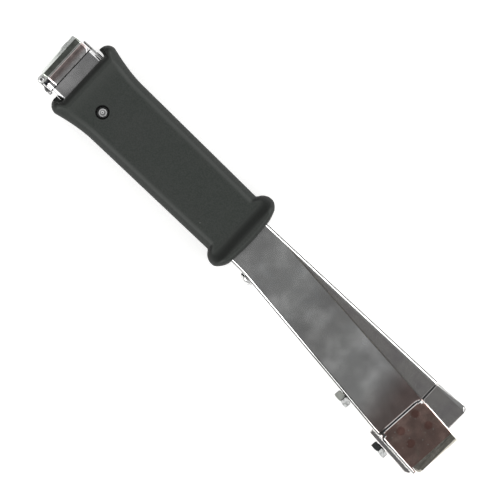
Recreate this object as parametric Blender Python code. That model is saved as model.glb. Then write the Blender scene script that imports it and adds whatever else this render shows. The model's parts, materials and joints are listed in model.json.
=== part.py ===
"""Hammer tacker: a staple gun that is swung like a hammer and fires when its nose strikes.

The tool lies on its side. X runs along the magazine towards the head, Y points to the strike
side, where staples leave, and Z is the tool's width. Pieces are laid out in millimetres from
the pivot pin's axis, and the empties put them in the world in metres.

Four groups move: the magazine swings about the pivot pin into the hammer's head, the drawer
(core rail and tail cap) pulls out of the magazine's rear, the pusher slides on the core rail,
and the latch lever turns on the drawer's latch pin.
"""

import math

import bmesh
import bpy
from mathutils import Vector

MM = 0.001
GAP = 0.3                       # air left between pieces that rest on each other
SMOOTH_BELOW = math.radians(32)

# Place of the pivot pin in the world, which puts the origin under the middle of the tool.
PIVOT_AT = (-114.8, 2.3, 19.5)

# Hammer body: a channel with its web on the back side and its flanges towards the strike side.
BODY_THICK = 1.5
BODY_BEND = 2.2
BODY_HALF = 9.8
HEAD_HALF = 11.5
BODY_REAR = -33.5
WAIST_X = 96.0                  # where the flange edges start to fall towards the head
BEND_X = 117.5                  # where the web turns away from the magazine
HEAD_JOGGLE = (236.2, 239.7)    # where the side walls step outwards
SEAM_X = 263.9                  # front edge of the side walls, at the web
HEAD_LEAN = 0.10                # how far the head's edges lean, per unit of height
FLANGE_REAR_Y = 18.4
FLANGE_FALL = 0.1027
WEB_REAR_Y = -10.5
WEB_MID_Y = -12.3
WEB_SLOPE = 0.1286
HEAD_SLOPE = 0.097
HEAD_START_X = 232.0
WEB_FRONT_X = 267.0

# Grip: a rubber boot over the rear of the body.
GRIP_REAR = -25.6
GRIP_FRONT = 111.3
GRIP_HALF = 15.0
GRIP_CORNER = 6.5
RING_HALF = 19.5
RING_RADIUS = 7.5
RING_X = 103.0
RING_CREST_X = 108.5
PIN_HOLE_R = 3.9

# Magazine: a narrower channel the other way round, with its web on the strike side.
MAGAZINE_WEB = 16.9
MAGAZINE_HALF = 6.6
MAGAZINE_THICK = 1.0
MAGAZINE_EDGE = -3.0
MAGAZINE_REAR = -27.0
MAGAZINE_WEB_END = 243.2
MAGAZINE_END = 258.0
NOSE_HALF = 7.9
NOSE_START = 243.5
NOSE_FRONT = 264.7
NOSE_WALL = 1.2

PIN_R = 2.4
PIN_BORE_R = 2.7

# Core rail, which carries the staples, and the pusher on it.
RAIL_HALF = 4.0
RAIL_THICK = 1.0
RAIL_WEB = 15.2
RAIL_EDGE = 4.2
RAIL_REAR = -38.0
RAIL_FRONT = 260.8
ROD_Y = 9.2
PUSHER_REAR = 236.0
PUSHER_FRONT = 260.4

# Tail cap and latch.
CAP_HALF = 11.1
CAP_THICK = 1.0
CAP_FRONT = -29.6
LATCH_AT = (-38.2, -9.8)
LATCH_HALF = 5.8

# Fasteners, M6 with 10 mm across flats.
HEX_FLATS = 10.0
BOLT_R = 2.7
BOLT_HOLE_R = 3.0
STOP_BOLT_X = 209.5
DRIVER_BOLT_X = 244.4
DRIVER_RADIUS = 262.7           # the blade's mid-line, an arc about the pivot pin
BLADE_THICK = 1.0
BLADE_HALF = 5.3

FINISHES = {
    "rubber": ((0.045, 0.053, 0.048), 0.62, 0.0),
    "plated": ((0.42, 0.42, 0.43), 0.24, 1.0),
    "satin": ((0.36, 0.35, 0.34), 0.42, 1.0),
    "chrome": ((0.72, 0.72, 0.73), 0.12, 1.0),
    "spring_steel": ((0.20, 0.20, 0.22), 0.38, 1.0),
    "bumper": ((0.02, 0.02, 0.02), 0.75, 0.0),
}


def web_y(x):
    """Outer face of the body's web."""
    if x <= BEND_X:
        share = (x - BODY_REAR) / (BEND_X - BODY_REAR)
        return WEB_REAR_Y + (WEB_MID_Y - WEB_REAR_Y) * share
    if x <= HEAD_START_X:
        return WEB_MID_Y - WEB_SLOPE * (x - BEND_X)
    return web_y(HEAD_START_X) - HEAD_SLOPE * (x - HEAD_START_X)


def flange_y(x):
    """Free edge of the body's flanges, up to the head."""
    return FLANGE_REAR_Y - FLANGE_FALL * max(0.0, x - WAIST_X)


# ---------------------------------------------------------------- scene helpers


def clear_scene():
    for obj in list(bpy.data.objects):
        bpy.data.objects.remove(obj, do_unlink=True)


def add_empty(name, at, parent=None):
    obj = bpy.data.objects.new(name, None)
    bpy.context.scene.collection.objects.link(obj)
    obj.parent = parent
    obj.location = Vector(at) * MM
    return obj


def add_material(name, finish):
    colour, roughness, metallic = FINISHES[finish]
    material = bpy.data.materials.new(name)
    material.use_nodes = True
    shader = material.node_tree.nodes["Principled BSDF"]
    shader.inputs["Base Color"].default_value = (*colour, 1.0)
    shader.inputs["Roughness"].default_value = roughness
    shader.inputs["Metallic"].default_value = metallic
    material.diffuse_color = (*colour, 1.0)
    return material


def add_piece(name, bm, finish, parent, at=(0, 0, 0), turn=(0, 0, 0)):
    """Turns a mesh in millimetres into a named object with its own material."""
    bmesh.ops.recalc_face_normals(bm, faces=bm.faces)
    bmesh.ops.scale(bm, vec=(MM, MM, MM), verts=bm.verts)
    mesh = bpy.data.meshes.new(name)
    bm.to_mesh(mesh)
    bm.free()
    mesh.shade_smooth()
    mesh.set_sharp_from_angle(angle=SMOOTH_BELOW)
    obj = bpy.data.objects.new(name, mesh)
    bpy.context.scene.collection.objects.link(obj)
    obj.parent = parent
    obj.location = Vector(at) * MM
    obj.rotation_euler = [math.radians(angle) for angle in turn]
    if finish:
        mesh.materials.append(add_material(f"{name}_{finish}", finish))
    return obj


def combine(piece, bm, operation, at=(0, 0, 0), turn=(0, 0, 0)):
    """Cuts a tool shape out of a piece, or joins it on."""
    count = len(piece.modifiers)
    tool = add_piece(f"{piece.name}_tool_{count}", bm, None, piece.parent, at, turn)
    tool.hide_render = True
    tool.display_type = "WIRE"
    modifier = piece.modifiers.new(f"{operation.lower()}_{count}", "BOOLEAN")
    modifier.operation = operation
    modifier.solver = "EXACT"
    modifier.object = tool


def cut(piece, bm, at=(0, 0, 0), turn=(0, 0, 0)):
    combine(piece, bm, "DIFFERENCE", at, turn)


def weld(piece, bm, at=(0, 0, 0), turn=(0, 0, 0)):
    combine(piece, bm, "UNION", at, turn)


# ---------------------------------------------------------------- shape helpers


def bridge(bm, ring_a, ring_b, closed=True):
    count = len(ring_a)
    for i in range(count if closed else count - 1):
        j = (i + 1) % count
        bm.faces.new((ring_a[i], ring_a[j], ring_b[j], ring_b[i]))


def prism(outline, low_z, high_z):
    """An outline in X and Y, extruded along Z."""
    bm = bmesh.new()
    low = [bm.verts.new((x, y, low_z)) for x, y in outline]
    high = [bm.verts.new((x, y, high_z)) for x, y in outline]
    bridge(bm, low, high)
    bm.faces.new(low)
    bm.faces.new(high)
    return bm


def box(low, high):
    outline = [(low[0], low[1]), (high[0], low[1]), (high[0], high[1]), (low[0], high[1])]
    return prism(outline, low[2], high[2])


def hexagon_radius(flats, angle):
    """Distance from a hexagon's centre to its edge in one direction."""
    wedge = math.radians(60)
    return 0.5 * flats / math.cos((angle % wedge) - wedge / 2)


def turned(profile, sides=24, through=False):
    """Rings about local Z from (radius, height) pairs.

    A radius given as ("hex", flats) makes that ring a hexagon. With through, the last ring
    joins the first, which leaves a hole along the axis.
    """
    bm = bmesh.new()
    rings = []
    for radius, height in profile:
        ring = []
        for i in range(sides):
            angle = 2 * math.pi * i / sides
            reach = hexagon_radius(radius[1], angle) if isinstance(radius, tuple) else radius
            ring.append(bm.verts.new((reach * math.cos(angle), reach * math.sin(angle), height)))
        rings.append(ring)
    for ring_a, ring_b in zip(rings, rings[1:]):
        bridge(bm, ring_a, ring_b)
    if through:
        bridge(bm, rings[-1], rings[0])
    else:
        bm.faces.new(rings[0])
        bm.faces.new(rings[-1])
    return bm


def channel_path(web, edge, half, bend, steps=4):
    """One wall of a U section, from one free edge round the web to the other, as (y, z)."""
    side = math.copysign(1, edge - web)
    corner = []
    for i in range(steps + 1):
        angle = math.pi / 2 * i / steps
        corner.append((web + side * bend * (1 - math.sin(angle)), half - bend * (1 - math.cos(angle))))
    other = [(y, -z) for y, z in reversed(corner)]
    return [(edge, half), *corner, *other, (edge, -half)]


def channel(stations, thick, bend):
    """A folded U channel through stations of (x, lean, web, edge, half width)."""
    bm = bmesh.new()
    walls = []
    for x, lean, web, edge, half in stations:
        side = math.copysign(1, edge - web)
        outer = channel_path(web, edge, half, bend)
        inner = channel_path(web + side * thick, edge, half - thick, bend - thick)
        pair = []
        for path in (outer, inner):
            pair.append([bm.verts.new((x + lean * (y - web), y, z)) for y, z in path])
        walls.append(pair)
    for (outer_a, inner_a), (outer_b, inner_b) in zip(walls, walls[1:]):
        bridge(bm, outer_a, outer_b, closed=False)
        bridge(bm, inner_a, inner_b, closed=False)
        for end in (0, -1):
            bm.faces.new((outer_a[end], outer_b[end], inner_b[end], inner_a[end]))
    for outer, inner in (walls[0], walls[-1]):
        bridge(bm, outer, inner, closed=False)
    return bm


def strip(path, thick, half):
    """Sheet metal bent along a path in X and Y, with its width along Z."""
    points = [Vector(point) for point in path]
    left = []
    right = []
    for i, point in enumerate(points):
        before = points[max(i - 1, 0)]
        after = points[min(i + 1, len(points) - 1)]
        along = (after - before).normalized()
        across = Vector((-along.y, along.x)) * thick / 2
        left.append(point + across)
        right.append(point - across)
    return prism([tuple(p) for p in left + right[::-1]], -half, half)


def arc(centre, radius, start, end, steps):
    """Points of an arc, with its angles in degrees."""
    points = []
    for i in range(steps + 1):
        angle = math.radians(start + (end - start) * i / steps)
        points.append((centre[0] + radius * math.cos(angle), centre[1] + radius * math.sin(angle)))
    return points


def ease_curve(start, start_slope, end, end_slope, steps):
    """Points of a cubic from start to end with the given slopes."""
    span = end[0] - start[0]
    points = []
    for i in range(steps + 1):
        t = i / steps
        rise = (2 * t**3 - 3 * t**2 + 1) * start[1] + (3 * t**2 - 2 * t**3) * end[1]
        rise += (t**3 - 2 * t**2 + t) * span * start_slope + (t**3 - t**2) * span * end_slope
        points.append((start[0] + span * t, rise))
    return points


def coil(radius, wire, length, turns, steps, wire_sides=5):
    """A helical spring along local Z."""
    bm = bmesh.new()
    rings = []
    total = turns * steps
    for i in range(total + 1):
        angle = 2 * math.pi * i / steps
        out = Vector((math.cos(angle), math.sin(angle), 0))
        ring = []
        for j in range(wire_sides):
            turn = 2 * math.pi * j / wire_sides
            offset = out * math.cos(turn) * wire + Vector((0, 0, wire * math.sin(turn)))
            centre = out * radius + Vector((0, 0, length * i / total))
            ring.append(bm.verts.new(centre + offset))
        rings.append(ring)
    for ring_a, ring_b in zip(rings, rings[1:]):
        bridge(bm, ring_a, ring_b)
    bm.faces.new(rings[0])
    bm.faces.new(rings[-1])
    return bm


def round_edges(bm, chosen, radius, segments=3):
    """Bends the edges whose two ends and middle all satisfy a test."""
    edges = []
    for edge in bm.edges:
        a, b = (vert.co for vert in edge.verts)
        if chosen(a) and chosen(b) and chosen((a + b) / 2):
            edges.append(edge)
    bmesh.ops.bevel(
        bm, geom=edges, offset=radius, segments=segments, profile=0.5, affect="EDGES"
    )


def smooth_step(value, low, high):
    share = min(1.0, max(0.0, (value - low) / (high - low)))
    return share * share * (3 - 2 * share)


# ---------------------------------------------------------------- hammer body


def make_body_channel(parent):
    rear, front = HEAD_JOGGLE
    stations = [
        (BODY_REAR, 0.0, web_y(BODY_REAR), FLANGE_REAR_Y, BODY_HALF),
        (WAIST_X, 0.0, web_y(WAIST_X), FLANGE_REAR_Y, BODY_HALF),
        (BEND_X, 0.0, web_y(BEND_X), flange_y(BEND_X), BODY_HALF),
        (HEAD_START_X - 20, 0.05, web_y(HEAD_START_X - 20), flange_y(HEAD_START_X - 20), BODY_HALF),
        (rear, HEAD_LEAN, web_y(rear), flange_y(rear + 3), BODY_HALF),
        (front, HEAD_LEAN, web_y(front), 3.75, HEAD_HALF),
        (SEAM_X, HEAD_LEAN, web_y(SEAM_X), 1.45, HEAD_HALF),
        (WEB_FRONT_X, HEAD_LEAN, web_y(WEB_FRONT_X), 1.1, HEAD_HALF),
    ]
    body = add_piece("body_channel", channel(stations, BODY_THICK, BODY_BEND), "plated", parent)

    # The web runs a little past the front edges of the side walls.
    low = web_y(SEAM_X) + BODY_BEND
    seam = [(SEAM_X + HEAD_LEAN * (y - web_y(SEAM_X)), y) for y in (low, 8.0)]
    cut(body, prism([seam[0], (280, low), (280, 8.0), seam[1]], -14, 14))

    pin_bore = turned([(PIN_BORE_R, -14), (PIN_BORE_R, 14)], sides=32)
    cut(body, pin_bore)
    # Notch in the web's rear end for the latch.
    cut(body, box((-40, -14, -6.6), (-26, -7, 6.6)))
    for x, radius in ((123.4, 2.3), (STOP_BOLT_X, 3.7), (DRIVER_BOLT_X, BOLT_HOLE_R)):
        hole = turned([(radius, -6), (radius, 6)])
        cut(body, hole, at=(x, web_y(x), 0), turn=(90, 0, -web_tilt(x)))
    return body


def web_tilt(x):
    """Angle in degrees between the web and the X axis."""
    return math.degrees(math.atan((web_y(x - 1) - web_y(x + 1)) / 2))


def make_handle_cover(parent):
    """Shallow channel that closes the handle's strike side over the magazine."""
    stations = [(-29.8, 0.0, 21.3, 17.4, 8.0), (WAIST_X, 0.0, 21.3, 17.4, 8.0)]
    cover = add_piece("handle_cover", channel(stations, 1.0, 1.6), "plated", parent)
    cut(cover, turned([(1.8, -3), (1.8, 3)]), at=(-12, 21, 0), turn=(-90, 0, 0))
    return cover


def make_catch_strip(parent):
    """Flat spring over the tail cap's top edge, with a rounded rear end."""
    half = 5.0
    middle_y = 22.35
    bm = strip([(-35.5, middle_y), (-8.0, middle_y)], 1.5, half)
    piece = add_piece("catch_strip", bm, "chrome", parent)
    cut(piece, turned([(1.8, -3), (1.8, 3)]), at=(-12, middle_y, 0), turn=(-90, 0, 0))
    rivet = turned([(2.6, -4.2), (2.6, -3.4), (1.5, -3.4), (1.5, 0.0), (2.8, 0.0), (2.2, 0.7)])
    add_piece("catch_rivet", rivet, "chrome", parent, at=(-12, 23.4, 0), turn=(-90, 0, 0))
    return piece


def make_head_front(parent):
    """Inner channel that closes the head's front; its sides sit inside the side walls."""
    half = 9.7
    wall = 1.2
    outline = [(244.5, 3.2), (272.3, 0.2), (269.2, -25.6), (267.2, -28.1), (242.4, -25.9)]
    front = prism(outline, -half, half)
    round_edges(front, lambda p: p.x > 269 and abs(p.z) > half - 0.1, 2.0)
    piece = add_piece("head_front_plate", front, "satin", parent)
    inside = [(230, 20), (273.2 - wall, 20), (268.0 - wall, -25.4), (266.6 - wall, -35), (230, -35)]
    cut(piece, prism(inside, -half + wall, half - wall))
    return piece


def make_driver(parent):
    """Blade on an arc about the pivot, with a foot clamped under the bolt in the head."""
    foot = [(x, web_y(x) + BODY_THICK + GAP + BLADE_THICK / 2) for x in (238.5, 259.6)]
    corner = (261.1, web_y(261.1) + BODY_THICK + GAP + 1.0)
    blade = arc((0, 0), DRIVER_RADIUS, -5.45, 0.17, 8)
    piece = add_piece("driver_blade", strip([*foot, corner, *blade], BLADE_THICK, BLADE_HALF),
                      "spring_steel", parent)
    at = (DRIVER_BOLT_X, web_y(DRIVER_BOLT_X), 0)
    turn = (90, 0, -web_tilt(DRIVER_BOLT_X))
    cut(piece, turned([(BOLT_HOLE_R, -5), (BOLT_HOLE_R, 5)]), at, turn)

    # Clamp strap on the web's outside.
    rear_x, bevel_x, front_x = 233.0, 262.5, 265.4
    thick = 2.9
    outline = [
        (rear_x, web_y(rear_x) - GAP),
        (front_x, web_y(front_x) - GAP),
        (front_x - 0.2, web_y(front_x) - 1.7),
        (bevel_x, web_y(bevel_x) - GAP - thick),
        (rear_x + 0.3, web_y(rear_x) - GAP - thick),
    ]
    strap = add_piece("driver_strap", prism(outline, -6.5, 6.5), "satin", parent)
    cut(strap, turned([(BOLT_HOLE_R, -2), (BOLT_HOLE_R, 7)]), at, turn)

    seat = GAP + thick + GAP
    bolt = hex_bolt(3.8, 12.0)
    slope = math.radians(web_tilt(DRIVER_BOLT_X))
    out = Vector((-math.sin(slope), -math.cos(slope), 0))
    foot_top = BODY_THICK + 2 * GAP + BLADE_THICK
    add_piece("driver_bolt", bolt, "chrome", parent, Vector(at) + out * seat, turn)
    washer = ring(BOLT_HOLE_R, 6.0, 0.8)
    add_piece("driver_washer", washer, "chrome", parent, Vector(at) - out * (foot_top + 0.8), turn)
    nut = hex_nut(3.4)
    add_piece("driver_nut", nut, "chrome", parent, Vector(at) - out * (foot_top + 4.5), turn)
    return piece


def hex_bolt(head_height, shank):
    """Chamfered hexagon head above the local origin, shank below it."""
    chamfer = 0.9
    flats = ("hex", HEX_FLATS)
    profile = [
        (BOLT_R - 0.4, -shank),
        (BOLT_R, -shank + 0.4),
        (BOLT_R, 0.0),
        (0.47 * HEX_FLATS, 0.0),
        (flats, 0.3),
        (flats, head_height - chamfer),
        (0.46 * HEX_FLATS, head_height),
    ]
    return turned(profile)


def ring(inner, outer, height):
    return turned([(inner, 0), (outer, 0), (outer, height), (inner, height)], through=True)


def hex_nut(height):
    flats = ("hex", HEX_FLATS)
    profile = [
        (BOLT_HOLE_R, 0.0),
        (0.47 * HEX_FLATS, 0.0),
        (flats, 0.6),
        (flats, height - 0.6),
        (0.47 * HEX_FLATS, height),
        (BOLT_HOLE_R, height),
    ]
    return turned(profile, through=True)


def make_leaf_spring(parent):
    """Return spring: riveted to the web behind the grip, its free end under the magazine."""
    thick = 1.0
    lift = BODY_THICK + GAP + thick / 2
    root = [(117.5, web_y(117.5) + lift), (BEND_X, web_y(BEND_X) + lift)]
    start = (131.0, web_y(131.0) + lift)
    bow = ease_curve(start, -WEB_SLOPE, (197.0, -2.45), 0.02, 12)
    leaf = add_piece("leaf_spring", strip([*root, *bow, (201.0, -2.7), (204.5, -3.6)], thick, 4.8),
                     "spring_steel", parent)
    at = (123.4, web_y(123.4), 0)
    turn = (90, 0, -web_tilt(123.4))
    cut(leaf, turned([(2.3, -6), (2.3, 6)]), at, turn)
    dome = [(3.4, -4.4), (3.4, -3.2), (1.9, -3.2), (1.9, 0.3), (4.5, 0.3)]
    dome += [(4.5 * math.cos(a), 0.8 + 2.5 * math.sin(a)) for a in (0.15, 0.5, 0.85, 1.2)]
    add_piece("leaf_rivet", turned(dome), "chrome", parent, at, turn)
    return leaf


def make_bumper(parent):
    """Rubber block on the web that stops the magazine's swing."""
    rear_x, front_x = 219.0, 231.0
    outline = [
        (rear_x, web_y(rear_x) + BODY_THICK + GAP),
        (front_x, web_y(front_x) + BODY_THICK + GAP),
        (front_x - 0.6, -17.5),
        (rear_x + 0.6, -16.9),
    ]
    return add_piece("rubber_bumper", prism(outline, -7.6, 7.6), "bumper", parent)


def make_pivot_pin(parent):
    """Tubular rivet through body, washers and magazine, rolled over at both ends."""
    end = 11.4
    face = BODY_HALF + GAP
    half = [(PIN_R, face), (3.25, face), (3.25, 10.9), (2.7, end), (1.8, end), (1.4, 10.7)]
    profile = [(r, -z) for r, z in reversed(half)] + half
    return add_piece("pivot_pin", turned(profile), "chrome", parent)


# ---------------------------------------------------------------- grip


def horn(x):
    """Flare of the grip's rear end, as a share of its full height."""
    return min(1.0, max(0.0, (5.0 - x) / 24.5)) ** 1.7


def bead(x):
    """Profile of the guard ring, as a share of its radius."""
    reach = RING_RADIUS if x < RING_X else GRIP_FRONT - RING_X
    share = abs(x - RING_X) / reach
    return math.sqrt(1 - share * share) if share < 1 else 0.0


def rear_round(x, crest=-19.5):
    share = max(0.0, (crest - x) / (crest - GRIP_REAR))
    return math.sqrt(max(0.0, 1 - share * share))


def grip_extents(x):
    """Strike edge, back edge and half width of the grip's outside at x."""
    top = max(26.9 - 0.0298 * x + 3.8 * horn(x), 21.5 + RING_RADIUS * bead(x))
    bottom = min(-15.25 - 0.0097 * x - 3.6 * horn(x), -13.5 - RING_RADIUS * bead(x))
    half = GRIP_HALF + 2.6 * horn(x) + (RING_HALF - GRIP_HALF) * smooth_step(x, 97, RING_CREST_X)
    if x < -19.5:
        top = 25.2 + (top - 25.2) * rear_round(x)
        bottom = -12.6 + (bottom + 12.6) * rear_round(x)
        half = 12.2 + (half - 12.2) * rear_round(x)
    if x > RING_X:
        top = min(top, 21.5 + RING_RADIUS * bead(x)) - 2.6 * smooth_step(x, 110, GRIP_FRONT)
        bottom = max(bottom, -13.5 - RING_RADIUS * bead(x))
    if x > RING_CREST_X:
        share = (x - RING_CREST_X) / (GRIP_FRONT - RING_CREST_X)
        half = 15.6 + (RING_HALF - 15.6) * math.sqrt(max(0.0, 1 - share * share))
    return top, bottom, half


def cavity_extents(x):
    """The same for the hollow that holds the body, its cover and the catch strip."""
    bottom = web_y(x) - GAP
    half = BODY_HALF + GAP
    if x < -4:
        return 24.6, bottom, half
    if x < WAIST_X + 1:
        return 21.6, bottom, half
    return flange_y(x) + GAP, bottom, half


def rounded_loop(top, bottom, half, radius, corner_steps=5, side_points=1, edge_points=1):
    """A rounded rectangle in Y and Z, starting from its strike-side corner."""
    centres = [
        (top - radius, half - radius),
        (top - radius, radius - half),
        (bottom + radius, radius - half),
        (bottom + radius, half - radius),
    ]
    corners = []
    for k, (cy, cz) in enumerate(centres):
        corner = []
        for i in range(corner_steps + 1):
            angle = math.pi / 2 * (k + i / corner_steps)
            corner.append((cy + radius * math.sin(angle), cz + radius * math.cos(angle)))
        corners.append(corner)
    loop = []
    for k, corner in enumerate(corners):
        loop += corner
        after = corners[(k + 1) % 4][0]
        between = edge_points if k % 2 == 0 else side_points
        for i in range(1, between + 1):
            share = i / (between + 1)
            y = corner[-1][0] + (after[0] - corner[-1][0]) * share
            z = corner[-1][1] + (after[1] - corner[-1][1]) * share
            loop.append((y, z))
    return loop


def grip_shift(x, y, z):
    """How far the ends are drawn in: the rear of each side, and the rims of the front face."""
    beside = smooth_step(abs(z), 7.5, 9.8)
    within = smooth_step(y, -14.8, -11.0) * (1 - smooth_step(y, 24.6, 28.0))
    scoop = 4.6 * beside * within * (1 - smooth_step(x, GRIP_REAR, -6.0))
    crown = 1.5 * ((y - 5.0) / 20.0) ** 2 * smooth_step(x, RING_CREST_X, GRIP_FRONT)
    return scoop - crown


def make_grip(parent):
    stations = [GRIP_REAR, -25.1, -23.8, -21.8, -19.5, -16, -12, -7, -3.5, 3, 25, 60, 90]
    stations += [95.4, 96.6, 98.5, 100.5, RING_X, 105.2, 107.2, RING_CREST_X]
    stations += [109.8, 110.7, GRIP_FRONT]
    bm = bmesh.new()
    outer_rings = []
    inner_rings = []
    for x in stations:
        outer = rounded_loop(*grip_extents(x), GRIP_CORNER)
        inner = rounded_loop(*cavity_extents(x), 0.8)
        outer_rings.append([bm.verts.new((x + grip_shift(x, y, z), y, z)) for y, z in outer])
        inner_rings.append([bm.verts.new((x + grip_shift(x, y, z), y, z)) for y, z in inner])
    for rings in (outer_rings, inner_rings):
        for ring_a, ring_b in zip(rings, rings[1:]):
            bridge(bm, ring_a, ring_b)
    for end in (0, -1):
        bridge(bm, outer_rings[end], inner_rings[end])
    grip = add_piece("grip", bm, "rubber", parent)
    cut(grip, turned([(PIN_HOLE_R, -25), (PIN_HOLE_R, 25)], sides=32))
    return grip


# ---------------------------------------------------------------- magazine


def make_magazine_channel(parent):
    ear = -6.5
    stations = [(x, 0.0, MAGAZINE_WEB, edge, MAGAZINE_HALF) for x, edge in (
        (MAGAZINE_REAR, MAGAZINE_EDGE),
        (-12.0, MAGAZINE_EDGE),
        (-7.0, ear),
        (7.0, ear),
        (12.0, MAGAZINE_EDGE),
        (MAGAZINE_END, MAGAZINE_EDGE),
    )]
    magazine = add_piece("magazine_channel", channel(stations, MAGAZINE_THICK, 1.6), "satin", parent)
    # Past the nose plate's rear edge only the flanges go on, inside the nose plate.
    cut(magazine, box((MAGAZINE_WEB_END, 15.4, -10), (MAGAZINE_END + 5, 20, 10)))
    cut(magazine, turned([(PIN_BORE_R, -10), (PIN_BORE_R, 10)], sides=32))
    return magazine


def make_nose_plate(parent):
    """Folded nose over the magazine's end, with the slot that staples leave through."""
    rear_y, front_y = 16.5, 17.1
    corner = 3.0
    centre = (NOSE_FRONT - corner, front_y - corner)
    outline = [(NOSE_START - 6, rear_y - 0.2), *reversed(arc(centre, corner, 0, 90, 4))]
    outline += [(NOSE_FRONT, -8.0), (NOSE_START - 6, -8.0)]
    block = prism(outline, -NOSE_HALF, NOSE_HALF)
    round_edges(block, lambda p: abs(p.z) > NOSE_HALF - 0.1 and (p.x > 261 or p.y > 15), 1.4)
    nose = add_piece("nose_plate", block, "satin", parent)
    inner_half = NOSE_HALF - 1.0
    top = 15.6
    hollow = box((NOSE_START - 8, -9, -inner_half), (NOSE_FRONT - NOSE_WALL, top, inner_half))
    cut(nose, hollow)
    cut(nose, box((261.3, 14, -5.6), (NOSE_FRONT - NOSE_WALL, 20, 5.6)))
    cut(nose, box((NOSE_START - 10, -12, -12), (NOSE_START, 22, 12)))
    cut(nose, box((NOSE_START - 10, -12, -12), (NOSE_FRONT + 5, MAGAZINE_EDGE, 12)))
    return nose


def make_spring_seat(parent):
    """Cross plate between the magazine's flanges, with the stop bolt through it."""
    half = MAGAZINE_HALF - MAGAZINE_THICK - GAP
    seat = add_piece("spring_seat", box((190, -1.6, -half), (220, -0.4, half)), "satin", parent)
    tilt = web_tilt(STOP_BOLT_X)
    slope = math.radians(tilt)
    inward = Vector((math.sin(slope), math.cos(slope), 0))
    under_head = Vector((STOP_BOLT_X, web_y(STOP_BOLT_X), 0)) - inward * GAP
    turn = (90, 0, -tilt)
    cut(seat, turned([(BOLT_HOLE_R, -30), (BOLT_HOLE_R, 5)]), under_head, turn)
    add_piece("stop_bolt", hex_bolt(4.4, 25.0), "chrome", parent, under_head, turn)
    add_piece("stop_nut", hex_nut(3.2), "chrome", parent, under_head + inward * 18.6, turn)
    return seat


def make_pivot_washers(parent):
    low = MAGAZINE_HALF + GAP
    height = BODY_HALF - BODY_THICK - GAP - low
    add_piece("pivot_washer_upper", ring(PIN_BORE_R, 5.4, height), "satin", parent, (0, 0, low))
    add_piece("pivot_washer_lower", ring(PIN_BORE_R, 5.4, height), "satin", parent,
              (0, 0, -low - height))


# ---------------------------------------------------------------- drawer, pusher and latch


def make_core_rail(parent):
    """Channel that the staples straddle, with the pusher's rod and spring inside."""
    stations = [(x, 0.0, RAIL_WEB, RAIL_EDGE, RAIL_HALF) for x in (RAIL_REAR, RAIL_FRONT)]
    rail = add_piece("core_rail", channel(stations, RAIL_THICK, 1.4), "satin", parent)
    inner = RAIL_HALF - RAIL_THICK - GAP
    block = box((254.5, 4.6, -inner), (259.5, RAIL_WEB - RAIL_THICK - GAP, inner))
    nose = add_piece("rail_nose_block", block, "chrome", parent)
    cut(nose, turned([(1.2, -4), (1.2, 4)], sides=16), at=(257, ROD_Y, 0), turn=(0, 90, 0))
    rod_length = 296.5
    rod = turned([(0.7, 0), (0.9, 0.3), (0.9, rod_length - 0.3), (0.7, rod_length)], sides=12)
    add_piece("pusher_rod", rod, "chrome", parent, (RAIL_REAR, ROD_Y, 0), (0, 90, 0))
    spring_start = -33.4
    spring = coil(1.9, 0.32, PUSHER_REAR - 4.9 - spring_start, turns=30, steps=8)
    add_piece("pusher_spring", spring, "spring_steel", parent, (spring_start, ROD_Y, 0), (0, 90, 0))
    return rail


def make_tail_cap(parent):
    """Folded cap over the tool's rear end; its sides overlap the body's walls."""
    outline = [
        (CAP_FRONT, -6.6),
        (CAP_FRONT, 19.6),
        (-31.0, 21.0),
        (-40.6, 21.0),
        (-42.7, 19.4),
        (-41.4, -5.7),
        (-39.8, -7.4),
    ]
    shell = prism(outline, -CAP_HALF, CAP_HALF)
    round_edges(shell, lambda p: p.x < -41 and abs(p.z) > CAP_HALF - 0.1, 2.6)
    cap = add_piece("tail_cap", shell, "plated", parent)
    inner_half = CAP_HALF - CAP_THICK
    hollow = prism([(-20, 30), (-42.2, 30), (-39.8, -15), (-20, -15)], -inner_half, inner_half)
    round_edges(hollow, lambda p: p.x < -39 and abs(p.z) > inner_half - 0.1, 1.6)
    cut(cap, hollow)
    for side in (1, -1):
        low, high = sorted((side * 6.4, side * (inner_half + 0.5)))
        weld(cap, box((-40.5, 20.0, low), (-31.4, 21.0, high)))
    for y in (1.0, 9.0):
        at = (-42.7 + (19.4 - y) * 0.052, y, 0)
        cut(cap, turned([(1.6, -3), (1.6, 3)], sides=16), at, (0, -90, 0))
    return cap


def make_tail_block(parent):
    """Cast block inside the cap: holds the core rail, the rod and the latch pin."""
    half = 7.7
    front = -33.9
    outline = [(front, -5.0), (front, 18.4), (-41.1, 18.4), (-40.0, -5.0)]
    block = add_piece("tail_block", prism(outline, -half, half), "satin", parent)
    pin_x, pin_y = LATCH_AT
    reach = 2.2
    lug = [(pin_x + reach, -4.0), (pin_x - 1.6, -4.0), *arc(LATCH_AT, reach, 180, 360, 8)]
    weld(block, prism(lug, 6.2, 7.4))
    weld(block, prism(lug, -7.4, -6.2))
    cut(block, box((RAIL_REAR - GAP, 3.9, -4.3), (front + 2, RAIL_WEB + GAP, 4.3)))
    cut(block, turned([(1.15, -9), (1.15, 9)], sides=16), at=(pin_x, pin_y, 0))
    for i, y in enumerate((1.0, 9.0)):
        face_x = -42.7 + (19.4 - y) * 0.052
        cut(block, turned([(1.6, -5), (1.6, 3)], sides=16), (face_x, y, 0), (0, -90, 0))
        rivet = turned([(1.3, -3.4), (1.3, 0.15), (2.2, 0.15), (1.6, 0.6)], sides=16)
        add_piece(f"cap_rivet_{i + 1}", rivet, "chrome", parent, (face_x, y, 0), (0, -90, 0))
    return block


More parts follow.
